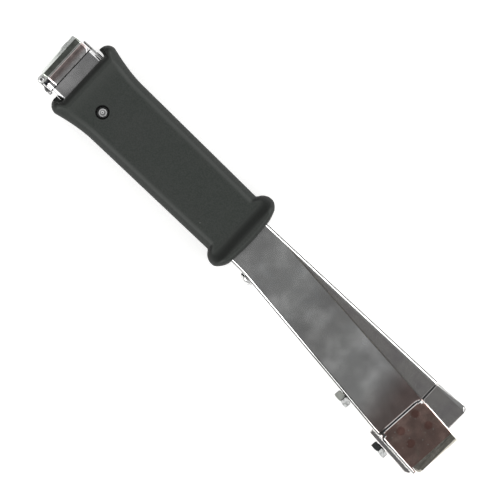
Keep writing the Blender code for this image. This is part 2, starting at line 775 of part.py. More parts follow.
def make_latch_pin(parent):
    half = [(0.9, 7.7), (1.6, 7.7), (1.6, 8.1), (1.2, 8.4)]
    profile = [(r, -z) for r, z in reversed(half)] + half
    add_piece("latch_pin", turned(profile, sides=16), "chrome", parent, (*LATCH_AT, 0))
    spring = coil(1.05, 0.2, 4.9, turns=4, steps=8)
    add_piece("latch_spring", spring, "spring_steel", parent, (-34.7, -10.6, 0), (-90, 0, 0))


def make_pusher(parent):
    """Saddle over the core rail, with a tongue inside it that the spring pushes."""
    outer = 5.3
    inner = RAIL_HALF + GAP
    low, crown, deep = 2.8, RAIL_EDGE - GAP, 14.0
    saddle = [(deep, -outer), (low, -outer), (low, outer), (deep, outer)]
    saddle += [(deep, inner), (crown, inner), (crown, -inner), (deep, -inner)]
    along_x = (90, 0, 90)
    bm = prism(saddle, PUSHER_REAR, PUSHER_FRONT)
    pusher = add_piece("pusher", bm, "chrome", parent, turn=along_x)
    tongue = [(12.0, -2.2), (3.3, -2.2), (3.3, 2.2), (12.0, 2.2)]
    weld(pusher, prism(tongue, PUSHER_REAR - 4.5, 252.5), turn=along_x)
    rod_hole = [(1.2, PUSHER_REAR - 10), (1.2, PUSHER_FRONT - 2)]
    cut(pusher, turned(rod_hole, sides=16), (0, ROD_Y, 0), (0, 90, 0))
    return pusher


def make_latch_lever(parent):
    """Sprung lever, curled round the latch pin, with a dip for the thumb near its tip."""
    curl = arc((0, 0), 1.75, 20, 270, 10)
    plate = [(3.0, -1.75), (4.3, -1.9)]
    thumb_dip = [(5.2, -2.6), (6.2, -3.0), (7.2, -2.6)]
    tip = [(8.0, -1.8), (9.0, -1.6)]
    bm = strip([*curl, *plate, *thumb_dip, *tip], 0.9, LATCH_HALF)
    return add_piece("latch_lever", bm, "chrome", parent)


def main():
    clear_scene()
    hammer = add_empty("hammer_frame", PIVOT_AT)
    magazine = add_empty("magazine_hinge", (0, 0, 0), hammer)
    drawer = add_empty("drawer_slide", (0, 0, 0), magazine)
    pusher = add_empty("pusher_slide", (0, 0, 0), drawer)
    latch = add_empty("latch_hinge", (*LATCH_AT, 0), drawer)

    make_body_channel(hammer)
    make_handle_cover(hammer)
    make_catch_strip(hammer)
    make_head_front(hammer)
    make_driver(hammer)
    make_leaf_spring(hammer)
    make_bumper(hammer)
    make_pivot_pin(hammer)
    make_grip(hammer)

    make_magazine_channel(magazine)
    make_nose_plate(magazine)
    make_spring_seat(magazine)
    make_pivot_washers(magazine)

    make_core_rail(drawer)
    make_tail_cap(drawer)
    make_tail_block(drawer)
    make_latch_pin(drawer)

    make_pusher(pusher)
    make_latch_lever(latch)


main()
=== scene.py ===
"""Looks of the hammer tacker: fine meshes, materials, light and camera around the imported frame.

The tool lies on its side. Shapes are laid out in millimetres from the pivot pin's axis, with X
towards the head, Y towards the strike side and Z across the tool, and are put in the frame in
metres by in_frame().
"""

import json
import math

import bmesh
import bpy
from mathutils import Matrix, Vector


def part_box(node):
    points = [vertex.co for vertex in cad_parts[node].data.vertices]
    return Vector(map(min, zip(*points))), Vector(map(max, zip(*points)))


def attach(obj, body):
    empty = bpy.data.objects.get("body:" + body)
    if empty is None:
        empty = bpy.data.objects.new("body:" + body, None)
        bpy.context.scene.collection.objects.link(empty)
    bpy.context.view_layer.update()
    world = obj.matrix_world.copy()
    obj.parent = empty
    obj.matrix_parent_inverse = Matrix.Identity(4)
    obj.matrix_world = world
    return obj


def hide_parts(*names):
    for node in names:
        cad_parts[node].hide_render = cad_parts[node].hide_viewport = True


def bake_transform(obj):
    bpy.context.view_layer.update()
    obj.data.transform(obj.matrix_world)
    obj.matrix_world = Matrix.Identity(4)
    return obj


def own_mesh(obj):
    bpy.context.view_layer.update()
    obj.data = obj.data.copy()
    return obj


MM = 0.001
TAU = 2 * math.pi

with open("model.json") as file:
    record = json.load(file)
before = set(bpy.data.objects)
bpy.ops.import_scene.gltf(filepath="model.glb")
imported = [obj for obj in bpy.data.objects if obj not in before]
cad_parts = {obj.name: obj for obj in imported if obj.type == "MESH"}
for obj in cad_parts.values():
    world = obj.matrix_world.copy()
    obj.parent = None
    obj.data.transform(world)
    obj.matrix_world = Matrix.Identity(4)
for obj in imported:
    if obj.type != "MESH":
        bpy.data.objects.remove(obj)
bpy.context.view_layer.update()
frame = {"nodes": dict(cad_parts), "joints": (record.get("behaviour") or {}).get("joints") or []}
JOINTS = {joint["name"]: joint for joint in frame["joints"]}
PIVOT = Vector(JOINTS["magazine_hinge"]["pos_m"])
LATCH = (Vector(JOINTS["latch_hinge"]["pos_m"]) - PIVOT) / MM
BODY_LOW, BODY_HIGH = ((corner - PIVOT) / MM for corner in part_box("body_channel"))
GRIP_LOW, GRIP_HIGH = ((corner - PIVOT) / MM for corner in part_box("grip"))

# Body channel.
BODY_HALF = 9.8
HEAD_HALF = BODY_HIGH.z
BODY_THICK = 1.5
BODY_BEND = 1.6
TAIL_BEND = 2.8
BODY_REAR = BODY_LOW.x
WAIST_X = 96.0
BEND_X = 117.5
HEAD_START_X = 232.0
SEAM_X = 263.9
WEB_FRONT_X = BODY_HIGH.x - 0.3
HEAD_LEAN = 0.10
PAD_X = 237.9
FLANGE_REAR_Y = 18.4
FLANGE_FALL = 0.1027
FLANGE_LEVEL_Y = 15.45
WEB_REAR_Y = -10.5
WEB_MID_Y = -12.3
WEB_SLOPE = 0.1286
HEAD_SLOPE = 0.097

# Grip.
GRIP_REAR = GRIP_LOW.x
GRIP_FRONT = 111.3
GRIP_HALF = 15.0
RING_HALF = GRIP_HIGH.z
RING_RADIUS = 7.5
RING_X = 103.0
CREST_X = -19.5

# Fasteners, and the middles of the spot welds.
HEX_FLATS = 10.0
STOP_BOLT_X = 209.5
STRAP_BOLT_X = 244.4
LEAF_RIVET_X = 123.4
SPOT_WELDS = ((244.5, -4.9), (254.5, -4.6), (245.4, -17.7), (254.2, -18.8))


def placed(name, data):
    """A new object in the scene."""
    obj = bpy.data.objects.new(name, data)
    bpy.context.scene.collection.objects.link(obj)
    return obj


def smooth_step(value, low, high):
    share = min(1.0, max(0.0, (value - low) / (high - low)))
    return share * share * (3 - 2 * share)


def spaced(start, end, step):
    """Evenly spaced values from start to end, no further apart than step."""
    count = max(1, math.ceil(abs(end - start) / step))
    return [start + (end - start) * i / count for i in range(count + 1)]


def web_y(x):
    """Outer face of the body's web."""
    if x <= BEND_X:
        share = (x - BODY_REAR) / (BEND_X - BODY_REAR)
        return WEB_REAR_Y + (WEB_MID_Y - WEB_REAR_Y) * share
    if x <= HEAD_START_X:
        return WEB_MID_Y - WEB_SLOPE * (x - BEND_X)
    return web_y(HEAD_START_X) - HEAD_SLOPE * (x - HEAD_START_X)


def web_tilt(x):
    """Angle in degrees between the web and the X axis."""
    return math.degrees(math.atan((web_y(x - 1) - web_y(x + 1)) / 2))


# ---- materials


class Nodes:
    """A node tree, with short ways to add the nodes it is built from."""

    def __init__(self, tree, coords):
        self.tree = tree
        self.coords = tree.nodes.new("ShaderNodeTexCoord").outputs[coords]

    def plug(self, socket, value):
        if isinstance(value, bpy.types.NodeSocket):
            self.tree.links.new(value, socket)
        elif isinstance(value, tuple) and len(value) == 3 and socket.type == "RGBA":
            socket.default_value = (*value, 1.0)
        else:
            socket.default_value = value

    def add(self, kind, output, sockets, **settings):
        """A node with its settings and sockets filled in, as the output asked for."""
        node = self.tree.nodes.new("ShaderNode" + kind)
        for name, value in settings.items():
            setattr(node, name, value)
        for name, value in sockets.items():
            self.plug(node.inputs[name], value)
        return node.outputs[output]

    def spread(self, value, from_low, from_high, to_low=0.0, to_high=1.0, kind="SMOOTHSTEP"):
        ranges = {"From Min": from_low, "From Max": from_high, "To Min": to_low, "To Max": to_high}
        return self.add("MapRange", "Result", {"Value": value, **ranges}, interpolation_type=kind)

    def math(self, operation, first, second=0.0):
        return self.add("Math", "Value", {0: first, 1: second}, operation=operation)

    def times(self, first, second):
        return self.math("MULTIPLY", first, second)

    def part_of(self, vector, name):
        return self.add("SeparateXYZ", name, {"Vector": vector})


class Shader(Nodes):
    """A Principled material, laid out in the frame's own coordinates."""

    def __init__(self, name, roughness=0.4, metallic=1.0):
        self.material = bpy.data.materials.new(name)
        self.material.use_nodes = True
        super().__init__(self.material.node_tree, "Object")
        self.bsdf = self.tree.nodes["Principled BSDF"]
        self.roughness(roughness)
        self.bsdf.inputs["Metallic"].default_value = metallic

    def stretched(self, scale):
        return self.add("Mapping", "Vector", {"Scale": scale, "Vector": self.coords})

    def noise(self, scale, detail=3.0, roughness=0.55, distortion=0.0, coords=None):
        sockets = {"Vector": coords or self.coords, "Scale": scale, "Detail": detail}
        sockets.update({"Roughness": roughness, "Distortion": distortion})
        return self.add("TexNoise", "Fac", sockets)

    def cells(self, scale):
        return self.add("TexVoronoi", "Distance", {"Vector": self.coords, "Scale": scale})

    def mix(self, share, first, second):
        sockets = {"Factor": share, "A": first, "B": second}
        return self.add("Mix", "Result", sockets, data_type="RGBA")

    def axis(self, name):
        """One coordinate of the frame, in metres."""
        return self.part_of(self.coords, name)

    def facing(self, name):
        """One part of the direction the surface faces."""
        return self.part_of(self.coords.node.outputs["Normal"], name)

    def from_middle(self):
        """Distance from the tool's middle plane, in metres."""
        return self.math("ABSOLUTE", self.math("SUBTRACT", self.axis("Z"), PIVOT.z))

    def bump(self, height, distance, strength=1.0, under=None):
        sockets = {"Distance": distance, "Strength": strength, "Height": height}
        if under:
            sockets["Normal"] = under
        return self.add("Bump", "Normal", sockets)

    def colour(self, value):
        self.plug(self.bsdf.inputs["Base Color"], value)

    def roughness(self, value):
        self.plug(self.bsdf.inputs["Roughness"], value)

    def normal(self, value):
        self.plug(self.bsdf.inputs["Normal"], value)


def row_x(tool_mm):
    """The frame's X, in metres, of a place in millimetres from the pin."""
    return PIVOT.x + tool_mm * MM


def row_y(tool_mm):
    return PIVOT.y + tool_mm * MM


def between(s, value, low, high, soft):
    """1 where the value lies between two limits, falling softly to 0 outside them."""
    rise = s.spread(value, low - soft, low + soft)
    fall = s.spread(value, high - soft, high + soft, 1.0, 0.0)
    return s.times(rise, fall)


def round_bend(share, half, radius):
    """Distance from the middle plane, in metres, part way out over a bend between two faces."""
    inward = radius * (1 - share)
    return (half - radius + math.sqrt(radius * radius - inward * inward)) * MM


def painted_reflection_lines(s, from_middle, half, radius, shares):
    """Mask of painted dark reflection hairlines along a bend, each between two shares of its width seen
    from the side.
    """
    total = 0.0
    for outer, inner in shares:
        high = round_bend(inner, half, radius)
        low = round_bend(outer, half, radius)
        line = between(s, from_middle, low, high, (high - low) / 10)
        total = s.math("MAXIMUM", line, total)
    return total


def body_plate_material():
    """Bright plating with cloudy bluish marks, browner towards the head, with painted dark reflection
    lines along its bends and a painted shadow line beside the tail cap.
    """
    s = Shader("body_plate")
    x = s.axis("X")
    clouds = s.spread(s.noise(38, detail=2.5, distortion=0.6), 0.35, 0.72)
    marks = s.spread(s.noise(85, detail=2, distortion=0.8), 0.45, 0.85)
    grey = s.mix(clouds, (0.92, 0.93, 0.92), (0.80, 0.80, 0.80))
    grey = s.mix(s.times(marks, 0.35), grey, (0.86, 0.91, 0.95))
    dull = between(s, x, row_x(162), row_x(185), 0.012)
    grey = s.mix(s.times(dull, 0.4), grey, (0.40, 0.39, 0.38))
    tail = s.spread(x, row_x(100), row_x(105), 1.0, 0.0)
    grey = s.mix(s.times(tail, 0.6), grey, (0.72, 0.71, 0.72))
    warm = s.mix(clouds, (0.48, 0.41, 0.39), (0.36, 0.28, 0.265))
    near_head = s.spread(x, row_x(212), row_x(234))
    from_middle = s.from_middle()
    flat = between(s, from_middle, 0.0096, 0.00995, 0.0001)
    tone = s.mix(s.times(near_head, flat), grey, warm)
    # Painted shadow line on the body beside the tail cap's front edge.
    cap_edge_shadow = between(s, x, row_x(-29.75), row_x(-29.05), 0.00012)
    tone = s.mix(cap_edge_shadow, tone, (0.03, 0.03, 0.03))
    step = s.spread(x, row_x(236.5), row_x(239.5), 0.0, (HEAD_HALF - BODY_HALF) * MM)
    from_middle = s.math("SUBTRACT", from_middle, step)
    # Painted dark reflection hairlines along the bends, and painted shade over the web's bend between X
    # 176 and 230.
    lines = painted_reflection_lines(s, from_middle, BODY_HALF, BODY_BEND, ((0.0, 0.40), (0.80, 0.93)))
    shade = painted_reflection_lines(s, from_middle, BODY_HALF, BODY_BEND, ((0.0, 0.6), (0.6, 0.88)))
    shade = s.times(shade, between(s, x, row_x(176), row_x(230), 0.01))
    lines = s.math("MAXIMUM", lines, s.times(shade, 0.86))
    slope = s.times(s.math("SUBTRACT", x, row_x(BEND_X)), WEB_SLOPE)
    above_web = s.math("ADD", s.math("SUBTRACT", s.axis("Y"), row_y(WEB_MID_Y)), slope)
    lines = s.times(lines, s.spread(above_web, 0.0045, 0.006, 1.0, 0.0))
    lines = s.times(lines, s.spread(x, row_x(90), row_x(95)))
    s.colour(s.mix(lines, tone, (0.035, 0.033, 0.03)))
    s.roughness(s.spread(s.noise(60, detail=2.5), 0.3, 0.75, 0.18, 0.28))
    s.normal(s.bump(s.noise(900), 0.000012, 0.35))
    return s.material


def head_material():
    """The head's side walls: brown cast, with the four dull rings of its spot welds."""
    s = Shader("head_plate")
    clouds = s.spread(s.noise(70, distortion=0.8), 0.35, 0.7)
    brown = s.mix(clouds, (0.54, 0.37, 0.325), (0.46, 0.325, 0.29))
    olive = s.spread(s.noise(120, detail=2), 0.55, 0.75, 0.0, 0.4)
    brown = s.mix(olive, brown, (0.48, 0.44, 0.37))
    for x, y in SPOT_WELDS:
        ends = {0: s.stretched((1.0, 1.0, 0.0)), 1: (row_x(x), row_y(y), 0.0)}
        spot = s.add("VectorMath", "Value", ends, operation="DISTANCE")
        reach = s.math("ADD", spot, s.times(clouds, 0.0006))
        mark = s.spread(reach, 0.0022, 0.0032, 0.75, 0.0)
        brown = s.mix(mark, brown, (0.38, 0.19, 0.16))
    specks = s.spread(s.cells(330), 0.10, 0.13, 0.8, 0.0)
    s.colour(s.mix(specks, brown, (0.75, 0.72, 0.68)))
    s.roughness(s.spread(s.noise(150, detail=5), 0.3, 0.75, 0.14, 0.26))
    s.normal(s.bump(s.noise(1100), 0.000014, 0.4))
    return s.material


def satin_material(name="satin_plate", half=0.0, radius=0.0):
    """Satin zinc plate with a fine crystalline grain; on the channels, a painted bright reflection with
    painted dark reflection hairlines along the bend, and a painted shadow along the line of the body's
    flange edge.
    """
    s = Shader(name)
    grain = s.noise(1500, detail=4, roughness=0.7)
    patches = s.spread(s.noise(110, detail=4), 0.35, 0.7)
    tone = s.mix(patches, (0.78, 0.76, 0.73), (0.66, 0.63, 0.63))
    tone = s.mix(s.spread(grain, 0.35, 0.7, 0.0, 0.6), tone, (0.50, 0.485, 0.49))
    tone = s.mix(s.spread(s.cells(700), 0.10, 0.16, 0.7, 0.0), tone, (1.0, 1.0, 1.0))
    if half:
        # Painted bright reflection over the web's bend, crossed by painted dark reflection hairlines.
        lines = painted_reflection_lines(s, s.from_middle(), half, radius, ((0.0, 0.40),))
        on_bend = s.spread(s.axis("Y"), row_y(14.4), row_y(15.2))
        tone = s.mix(on_bend, tone, (0.93, 0.93, 0.92))
        tone = s.mix(s.times(lines, on_bend), tone, (0.035, 0.034, 0.032))
    # Painted shadow along the line of the body's flange edge, growing from X 122 to 134.
    fall = s.times(s.math("SUBTRACT", s.axis("X"), row_x(WAIST_X)), FLANGE_FALL)
    past_edge = s.math("ADD", s.math("SUBTRACT", s.axis("Y"), row_y(FLANGE_REAR_Y)), fall)
    flange_shadow = between(s, past_edge, -0.0008, 0.0006, 0.0007)
    flange_shadow = s.times(flange_shadow, s.spread(s.axis("X"), row_x(122), row_x(134), 0.0, 0.6))
    s.colour(s.mix(flange_shadow, tone, (0.10, 0.10, 0.095)))
    s.roughness(s.spread(grain, 0.3, 0.7, 0.14, 0.27))
    s.normal(s.bump(grain, 0.00002, 0.5))
    return s.material


def front_strip_material():
    """Olive-grey plate drawn in faint lines up the head's front edge."""
    s = Shader("front_plate")
    lines = s.noise(260, coords=s.stretched((4.0, 0.25, 1.0)))
    tone = s.mix(s.spread(lines, 0.35, 0.65), (0.66, 0.63, 0.56), (0.50, 0.48, 0.42))
    s.colour(tone)
    s.roughness(s.spread(s.noise(500), 0.3, 0.7, 0.12, 0.22))
    s.normal(s.bump(s.noise(1200), 0.000015, 0.4))
    return s.material


def cap_material():
    """Dark mirror plating of the tail cap, streaked along its height, with painted reflections: a light
    line on its crease, a dark band behind it and a pale band over its rear bend.
    """
    s = Shader("cap_plate")
    x = s.axis("X")
    streaks = s.noise(170, detail=4, coords=s.stretched((3.0, 0.3, 1.0)))
    grey = s.mix(s.spread(streaks, 0.35, 0.7), (1.0, 0.98, 0.98), (0.90, 0.88, 0.88))
    red = s.mix(s.spread(streaks, 0.4, 0.65), (0.62, 0.50, 0.48), (0.42, 0.36, 0.355))
    # Redder and darker behind X -30: the plating's tint, and partly a painted darker reflection.
    tone = s.mix(s.spread(x, row_x(-33.5), row_x(-30.0)), red, grey)
    # Painted highlight: a light line on the pressed crease.
    tone = s.mix(s.spread(x, row_x(-35.55), row_x(-35.1)), (0.60, 0.60, 0.58), tone)
    # Painted dark reflection: a dark band behind the crease.
    tone = s.mix(s.spread(x, row_x(-36.5), row_x(-36.0)), (0.27, 0.29, 0.26), tone)
    # Painted pale reflection over the rear bend, with a dark patch in it.
    smudge = between(s, s.axis("Y"), row_y(10.5), row_y(15.5), 0.0012)
    smudge = s.times(smudge, between(s, x, row_x(-42.2), row_x(-41.5), 0.0002))
    pale = s.mix(s.times(smudge, 0.8), (0.64, 0.66, 0.64), (0.16, 0.16, 0.16))
    tone = s.mix(s.spread(x, row_x(-39.7), row_x(-39.5)), pale, tone)
    s.colour(tone)
    s.roughness(s.spread(s.noise(220, detail=4), 0.3, 0.7, 0.17, 0.28))
    s.normal(s.bump(s.noise(900), 0.00001, 0.3))
    return s.material


def bright_material(name, light, dark):
    """Chrome of the fasteners and small pressings, with hairline wear."""
    s = Shader(name)
    wear = s.spread(s.noise(420, detail=5, distortion=0.5), 0.45, 0.75)
    s.colour(s.mix(wear, light, dark))
    s.roughness(s.spread(wear, 0.0, 1.0, 0.10, 0.24))
    s.normal(s.bump(s.noise(2000), 0.000008, 0.3))
    return s.material


def pale_zinc_material():
    """Whitish bare casting of the latch's lugs."""
    s = Shader("pale_zinc", metallic=0.3)
    s.colour(s.mix(s.noise(500, detail=4), (0.80, 0.81, 0.79), (0.55, 0.56, 0.54)))
    s.roughness(s.spread(s.noise(900), 0.3, 0.7, 0.35, 0.5))
    return s.material


def spring_material():
    """Blued spring steel with a straw tint in places."""
    s = Shader("spring_steel")
    tint = s.spread(s.noise(130), 0.4, 0.7)
    s.colour(s.mix(tint, (0.20, 0.21, 0.25), (0.28, 0.25, 0.21)))
    s.roughness(s.spread(s.noise(700, detail=4), 0.3, 0.7, 0.28, 0.42))
    s.normal(s.bump(s.noise(1500), 0.000012, 0.4))
    return s.material


def grip_material():
    """Moulded rubber: fine matte grain, with a painted sheen along its shoulders and painted shade on its
    steep sides and where it faces the tail.
    """
    s = Shader("grip_rubber", roughness=0.6, metallic=0.0)
    broad = s.spread(s.noise(28), 0.35, 0.7)
    grain = s.noise(1400, roughness=0.6)
    tone = s.mix(broad, (0.0215, 0.0255, 0.0225), (0.025, 0.028, 0.0255))
    tone = s.mix(s.spread(grain, 0.35, 0.65, 0.0, 0.5), tone, (0.039, 0.042, 0.039))
    flat = s.math("ABSOLUTE", s.facing("Z"))
    # Painted sheen along the shoulders.
    shoulder = between(s, flat, 0.85, 0.975, 0.02)
    tone = s.mix(s.times(shoulder, 0.35), tone, (0.048, 0.052, 0.048))
    # Painted shade on the steep sides.
    tone = s.mix(s.spread(flat, 0.4, 0.8, 0.6, 0.0), tone, (0.012, 0.013, 0.012))
    # Painted shade where the surface faces the tail.
    rearward = s.spread(s.facing("X"), -0.7, 0.0, 0.8, 0.0)
    tone = s.mix(rearward, tone, (0.006, 0.0065, 0.006))
    specks = s.spread(s.cells(55), 0.012, 0.02, 1.0, 0.0)
    s.colour(s.mix(s.times(specks, 0.35), tone, (0.25, 0.26, 0.25)))
    s.roughness(s.spread(grain, 0.3, 0.7, 0.42, 0.56))
    pits = s.bump(s.noise(650, detail=2), 0.00003, 0.4)
    s.normal(s.bump(grain, 0.00003, 0.5, under=pits))
    shine = s.math("MINIMUM", s.spread(flat, 0.2, 0.8, 0.08, 0.22), s.spread(rearward, 0, 0.8, 0.3, 0.14))
    s.plug(s.bsdf.inputs["Specular IOR Level"], shine)
    return s.material


def painted_shade_material():
    """Near-black painted shade and dark reflection, for the steep parts of the pressed steps and for the
    bolts' corners and facets.
    """
    s = Shader("crease", roughness=0.5, metallic=0.6)
    s.colour(s.mix(s.noise(400), (0.012, 0.014, 0.016), (0.035, 0.035, 0.035)))
    return s.material


def cut_edge_material():
    """Bare, straw-tinted steel of the body's cut edges."""
    s = Shader("cut_edge")
    s.colour(s.mix(s.noise(300), (0.80, 0.72, 0.50), (0.52, 0.46, 0.34)))
    s.roughness(s.spread(s.noise(800), 0.3, 0.7, 0.3, 0.45))
    return s.material


def bumper_material():
    s = Shader("bumper_rubber", roughness=0.75, metallic=0.0)
    grain = s.noise(900)
    s.colour(s.mix(grain, (0.018, 0.018, 0.018), (0.030, 0.029, 0.028)))
    s.normal(s.bump(grain, 0.00005, 0.6))
    return s.material


def floor_material():
    """White translucent table top, lit faintly from below."""
    s = Shader("floor", roughness=0.55, metallic=0.0)
    s.colour(s.mix(s.noise(3, detail=2), (0.93, 0.93, 0.925), (0.90, 0.90, 0.895)))
    s.bsdf.inputs["Emission Color"].default_value = (1.0, 1.0, 0.99, 1.0)
    s.bsdf.inputs["Emission Strength"].default_value = 0.35
    return s.material


BODY_PLATE = body_plate_material()
HEAD_PLATE = head_material()
SATIN = satin_material()
MAGAZINE_PLATE = satin_material("magazine_plate", 6.6, 1.6)
NOSE_PLATE = satin_material("nose_plate", 7.9, 1.4)
FRONT_STRIP = front_strip_material()
CAP_PLATE = cap_material()
BRIGHT = bright_material("bright_chrome", (0.72, 0.72, 0.72), (0.42, 0.42, 0.41))
WORN = bright_material("worn_chrome", (0.66, 0.67, 0.66), (0.12, 0.125, 0.12))
PALE_ZINC = pale_zinc_material()
# Shaded copy of the chrome: painted shade for the stop bolt's facets that face the tail.
SHADED_CHROME = bright_material("shaded_chrome", (0.36, 0.37, 0.345), (0.24, 0.25, 0.23))
SPRING = spring_material()
RUBBER = grip_material()
BUMPER = bumper_material()
PAINTED_SHADE = painted_shade_material()
CUT_EDGE = cut_edge_material()


# ---- mesh helpers


def bridge(bm, ring_a, ring_b, closed=True):
    count = len(ring_a)
    for i in range(count if closed else count - 1):
        j = (i + 1) % count
        bm.faces.new((ring_a[i], ring_a[j], ring_b[j], ring_b[i]))


def in_frame(bm, at, turn):
    """Turns and moves a shape, in millimetres from the pin, into the frame."""
    turned_by = Matrix.Identity(4)
    for angle, axis in zip(turn, "XYZ"):
        turned_by = Matrix.Rotation(math.radians(angle), 4, axis) @ turned_by
    place = Matrix.Translation(PIVOT) @ Matrix.Scale(MM, 4)
    bm.transform(place @ Matrix.Translation(Vector(at)) @ turned_by)


def raw_object(name, bm, at=(0, 0, 0), turn=(0, 0, 0)):
    bmesh.ops.recalc_face_normals(bm, faces=bm.faces)
    in_frame(bm, at, turn)
    mesh = bpy.data.meshes.new(name)
    bm.to_mesh(mesh)
    bm.free()
    return placed(name, mesh)


def apply_modifiers(obj):
    """Keeps the evaluated shape as the object's own mesh."""
    depsgraph = bpy.context.evaluated_depsgraph_get()
    depsgraph.update()
    mesh = bpy.data.meshes.new_from_object(obj.evaluated_get(depsgraph))
    obj.modifiers.clear()
    obj.data = mesh


def thicken(obj, thick, even=False):
    """Makes a wall of an outer surface whose first face is on the tool's upper side."""
    wall = obj.modifiers.new("wall", "SOLIDIFY")
    wall.thickness = thick * MM
    wall.offset = -1 if obj.data.polygons[0].normal.z > 0 else 1
    wall.use_even_offset = even
    apply_modifiers(obj)


def paint(obj, *materials):
    for material in materials:
        obj.data.materials.append(material)


def drill(obj, bm, at=(0, 0, 0), turn=(0, 0, 0)):
    """Cuts a shape out of an object for good."""
    tool = raw_object("drill", bm, at, turn)
    modifier = obj.modifiers.new("drill", "BOOLEAN")
    modifier.operation = "DIFFERENCE"
    modifier.object = tool
    apply_modifiers(obj)
    bpy.data.objects.remove(tool)


def soften(obj, width, segments=2, angle=35, spare=None):
    """Rounds the sharp edges, except those whose middle, in millimetres, spare() picks."""
    bm = bmesh.new()
    bm.from_mesh(obj.data)
    weights = bm.edges.layers.float.new("bevel_weight_edge")
    for edge in bm.edges:
        middle = ((edge.verts[0].co + edge.verts[1].co) / 2 - PIVOT) / MM
        sharp = len(edge.link_faces) == 2 and edge.calc_face_angle() > math.radians(angle)
        edge[weights] = 1.0 if sharp and not (spare and spare(middle)) else 0.0
    bm.to_mesh(obj.data)
    bm.free()
    modifier = obj.modifiers.new("soften", "BEVEL")
    modifier.width = width * MM
    modifier.segments = segments
    modifier.limit_method = "WEIGHT"
    apply_modifiers(obj)


def dress(obj, body, material, replaces=None, smooth=40):
    """Smooth shading that leaves flat faces flat, a material, and the piece's place."""
    obj.data.shade_smooth()
    obj.data.set_sharp_from_angle(angle=math.radians(smooth))
    if material != RUBBER:
        obj.modifiers.new("flat", "WEIGHTED_NORMAL").keep_sharp = True
        apply_modifiers(obj)
    if not obj.data.materials:
        paint(obj, material)
    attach(obj, body)
    if replaces:
        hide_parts(replaces)


def prism(outline, low_z, high_z):
    bm = bmesh.new()
    low = [bm.verts.new((x, y, low_z)) for x, y in outline]
    high = [bm.verts.new((x, y, high_z)) for x, y in outline]
    bridge(bm, low, high)
    bm.faces.new(low)
    bm.faces.new(high)
    return bm


def round_edges(bm, offset, segments, picked):
    """Rounds the edges of a prism's two end faces, where picked() accepts both their points."""
    edges = []
    for edge in bm.edges:
        a, b = (vert.co for vert in edge.verts)
        if a.z * b.z > 0 and picked(a) and picked(b):
            edges.append(edge)
    bmesh.ops.bevel(bm, geom=edges, offset=offset, segments=segments, profile=0.5, affect="EDGES")


def sheet(name, stations, rows, keep=None):
    """Surface through a row of points at each station, less the faces that keep() refuses."""
    bm = bmesh.new()
    grid = [[bm.verts.new(point) for point in row] for row in rows]
    for x, row_a, row_b in zip(stations[1:], grid, grid[1:]):
        for i in range(len(row_a) - 1):
            if not keep or keep(x, i):
                bm.faces.new((row_a[i], row_b[i], row_b[i + 1], row_a[i + 1]))
    loose = [vert for vert in bm.verts if not vert.link_faces]
    bmesh.ops.delete(bm, geom=loose, context="VERTS")
    return raw_object(name, bm)


def bend_rows(web, half, bend, inward, first=0):
    """Rows round a bend from a side wall into the web, as (y, z)."""
    rows = []
    for i in range(first, 9):
        angle = math.pi / 2 * i / 8
        y = web + inward * bend * (1 - math.sin(angle))
        rows.append((y, half - bend * (1 - math.cos(angle))))
    return rows


def mirrored(rows):
    """A half section, then the same on the other side of the middle plane."""
    return rows + [(y, -z) for y, z in reversed(rows)]


def box(low, high):
    outline = [(low[0], low[1]), (high[0], low[1]), (high[0], high[1]), (low[0], high[1])]
    return prism(outline, low[2], high[2])


def arc(centre, radius, start, end, steps):
    points = []
    for i in range(steps + 1):
        angle = math.radians(start + (end - start) * i / steps)
        points.append((centre[0] + radius * math.cos(angle), centre[1] + radius * math.sin(angle)))
    return points


def turned(rings, sides=48, through=False):
    """Rings about local Z. Each is (radius or function of the angle, height)."""
    bm = bmesh.new()
    loops = []
    for radius, height in rings:
        loop = []
        for i in range(sides):
            angle = TAU * i / sides
            reach = radius(angle) if callable(radius) else radius
            loop.append(bm.verts.new((reach * math.cos(angle), reach * math.sin(angle), height)))
        loops.append(loop)
    for ring_a, ring_b in zip(loops, loops[1:]):
        bridge(bm, ring_a, ring_b)
    if through:
        bridge(bm, loops[-1], loops[0])
    else:
        bm.faces.new(loops[0])
        bm.faces.new(loops[-1])
    return bm


def smooth_path(points):
    """A Catmull-Rom curve through a few points in X and Y."""
    steps = 4
    result = []
    padded = [points[0], *points, points[-1]]
    for a, b, c, d in zip(padded, padded[1:], padded[2:], padded[3:]):
        for i in range(steps):
            t = i / steps
            point = []
            for k in (0, 1):
                spline = 2 * b[k] + (c[k] - a[k]) * t
                spline += (2 * a[k] - 5 * b[k] + 4 * c[k] - d[k]) * t * t
                spline += (3 * b[k] - a[k] - 3 * c[k] + d[k]) * t**3
                point.append(spline / 2)
            result.append(tuple(point))
    result.append(tuple(points[-1]))
    return result


def strip(path, thick, half):
    """Sheet metal bent along a path in X and Y, with its width along Z."""
    points = [Vector(point) for point in path]
    left = []
    right = []
    for i, point in enumerate(points):
        along = (points[min(i + 1, len(points) - 1)] - points[max(i - 1, 0)]).normalized()
        across = Vector((-along.y, along.x)) * thick / 2
        left.append(point + across)
        right.append(point - across)
    bm = bmesh.new()
    sides = [[bm.verts.new((*p, z)) for p in left + right[::-1]] for z in (-half, half)]
    bridge(bm, *sides)
    count = len(left)
    for side in sides:
        for i in range(count - 1):
            j = 2 * count - 1 - i
            bm.faces.new((side[i], side[i + 1], side[j - 1], side[j]))
    return bm


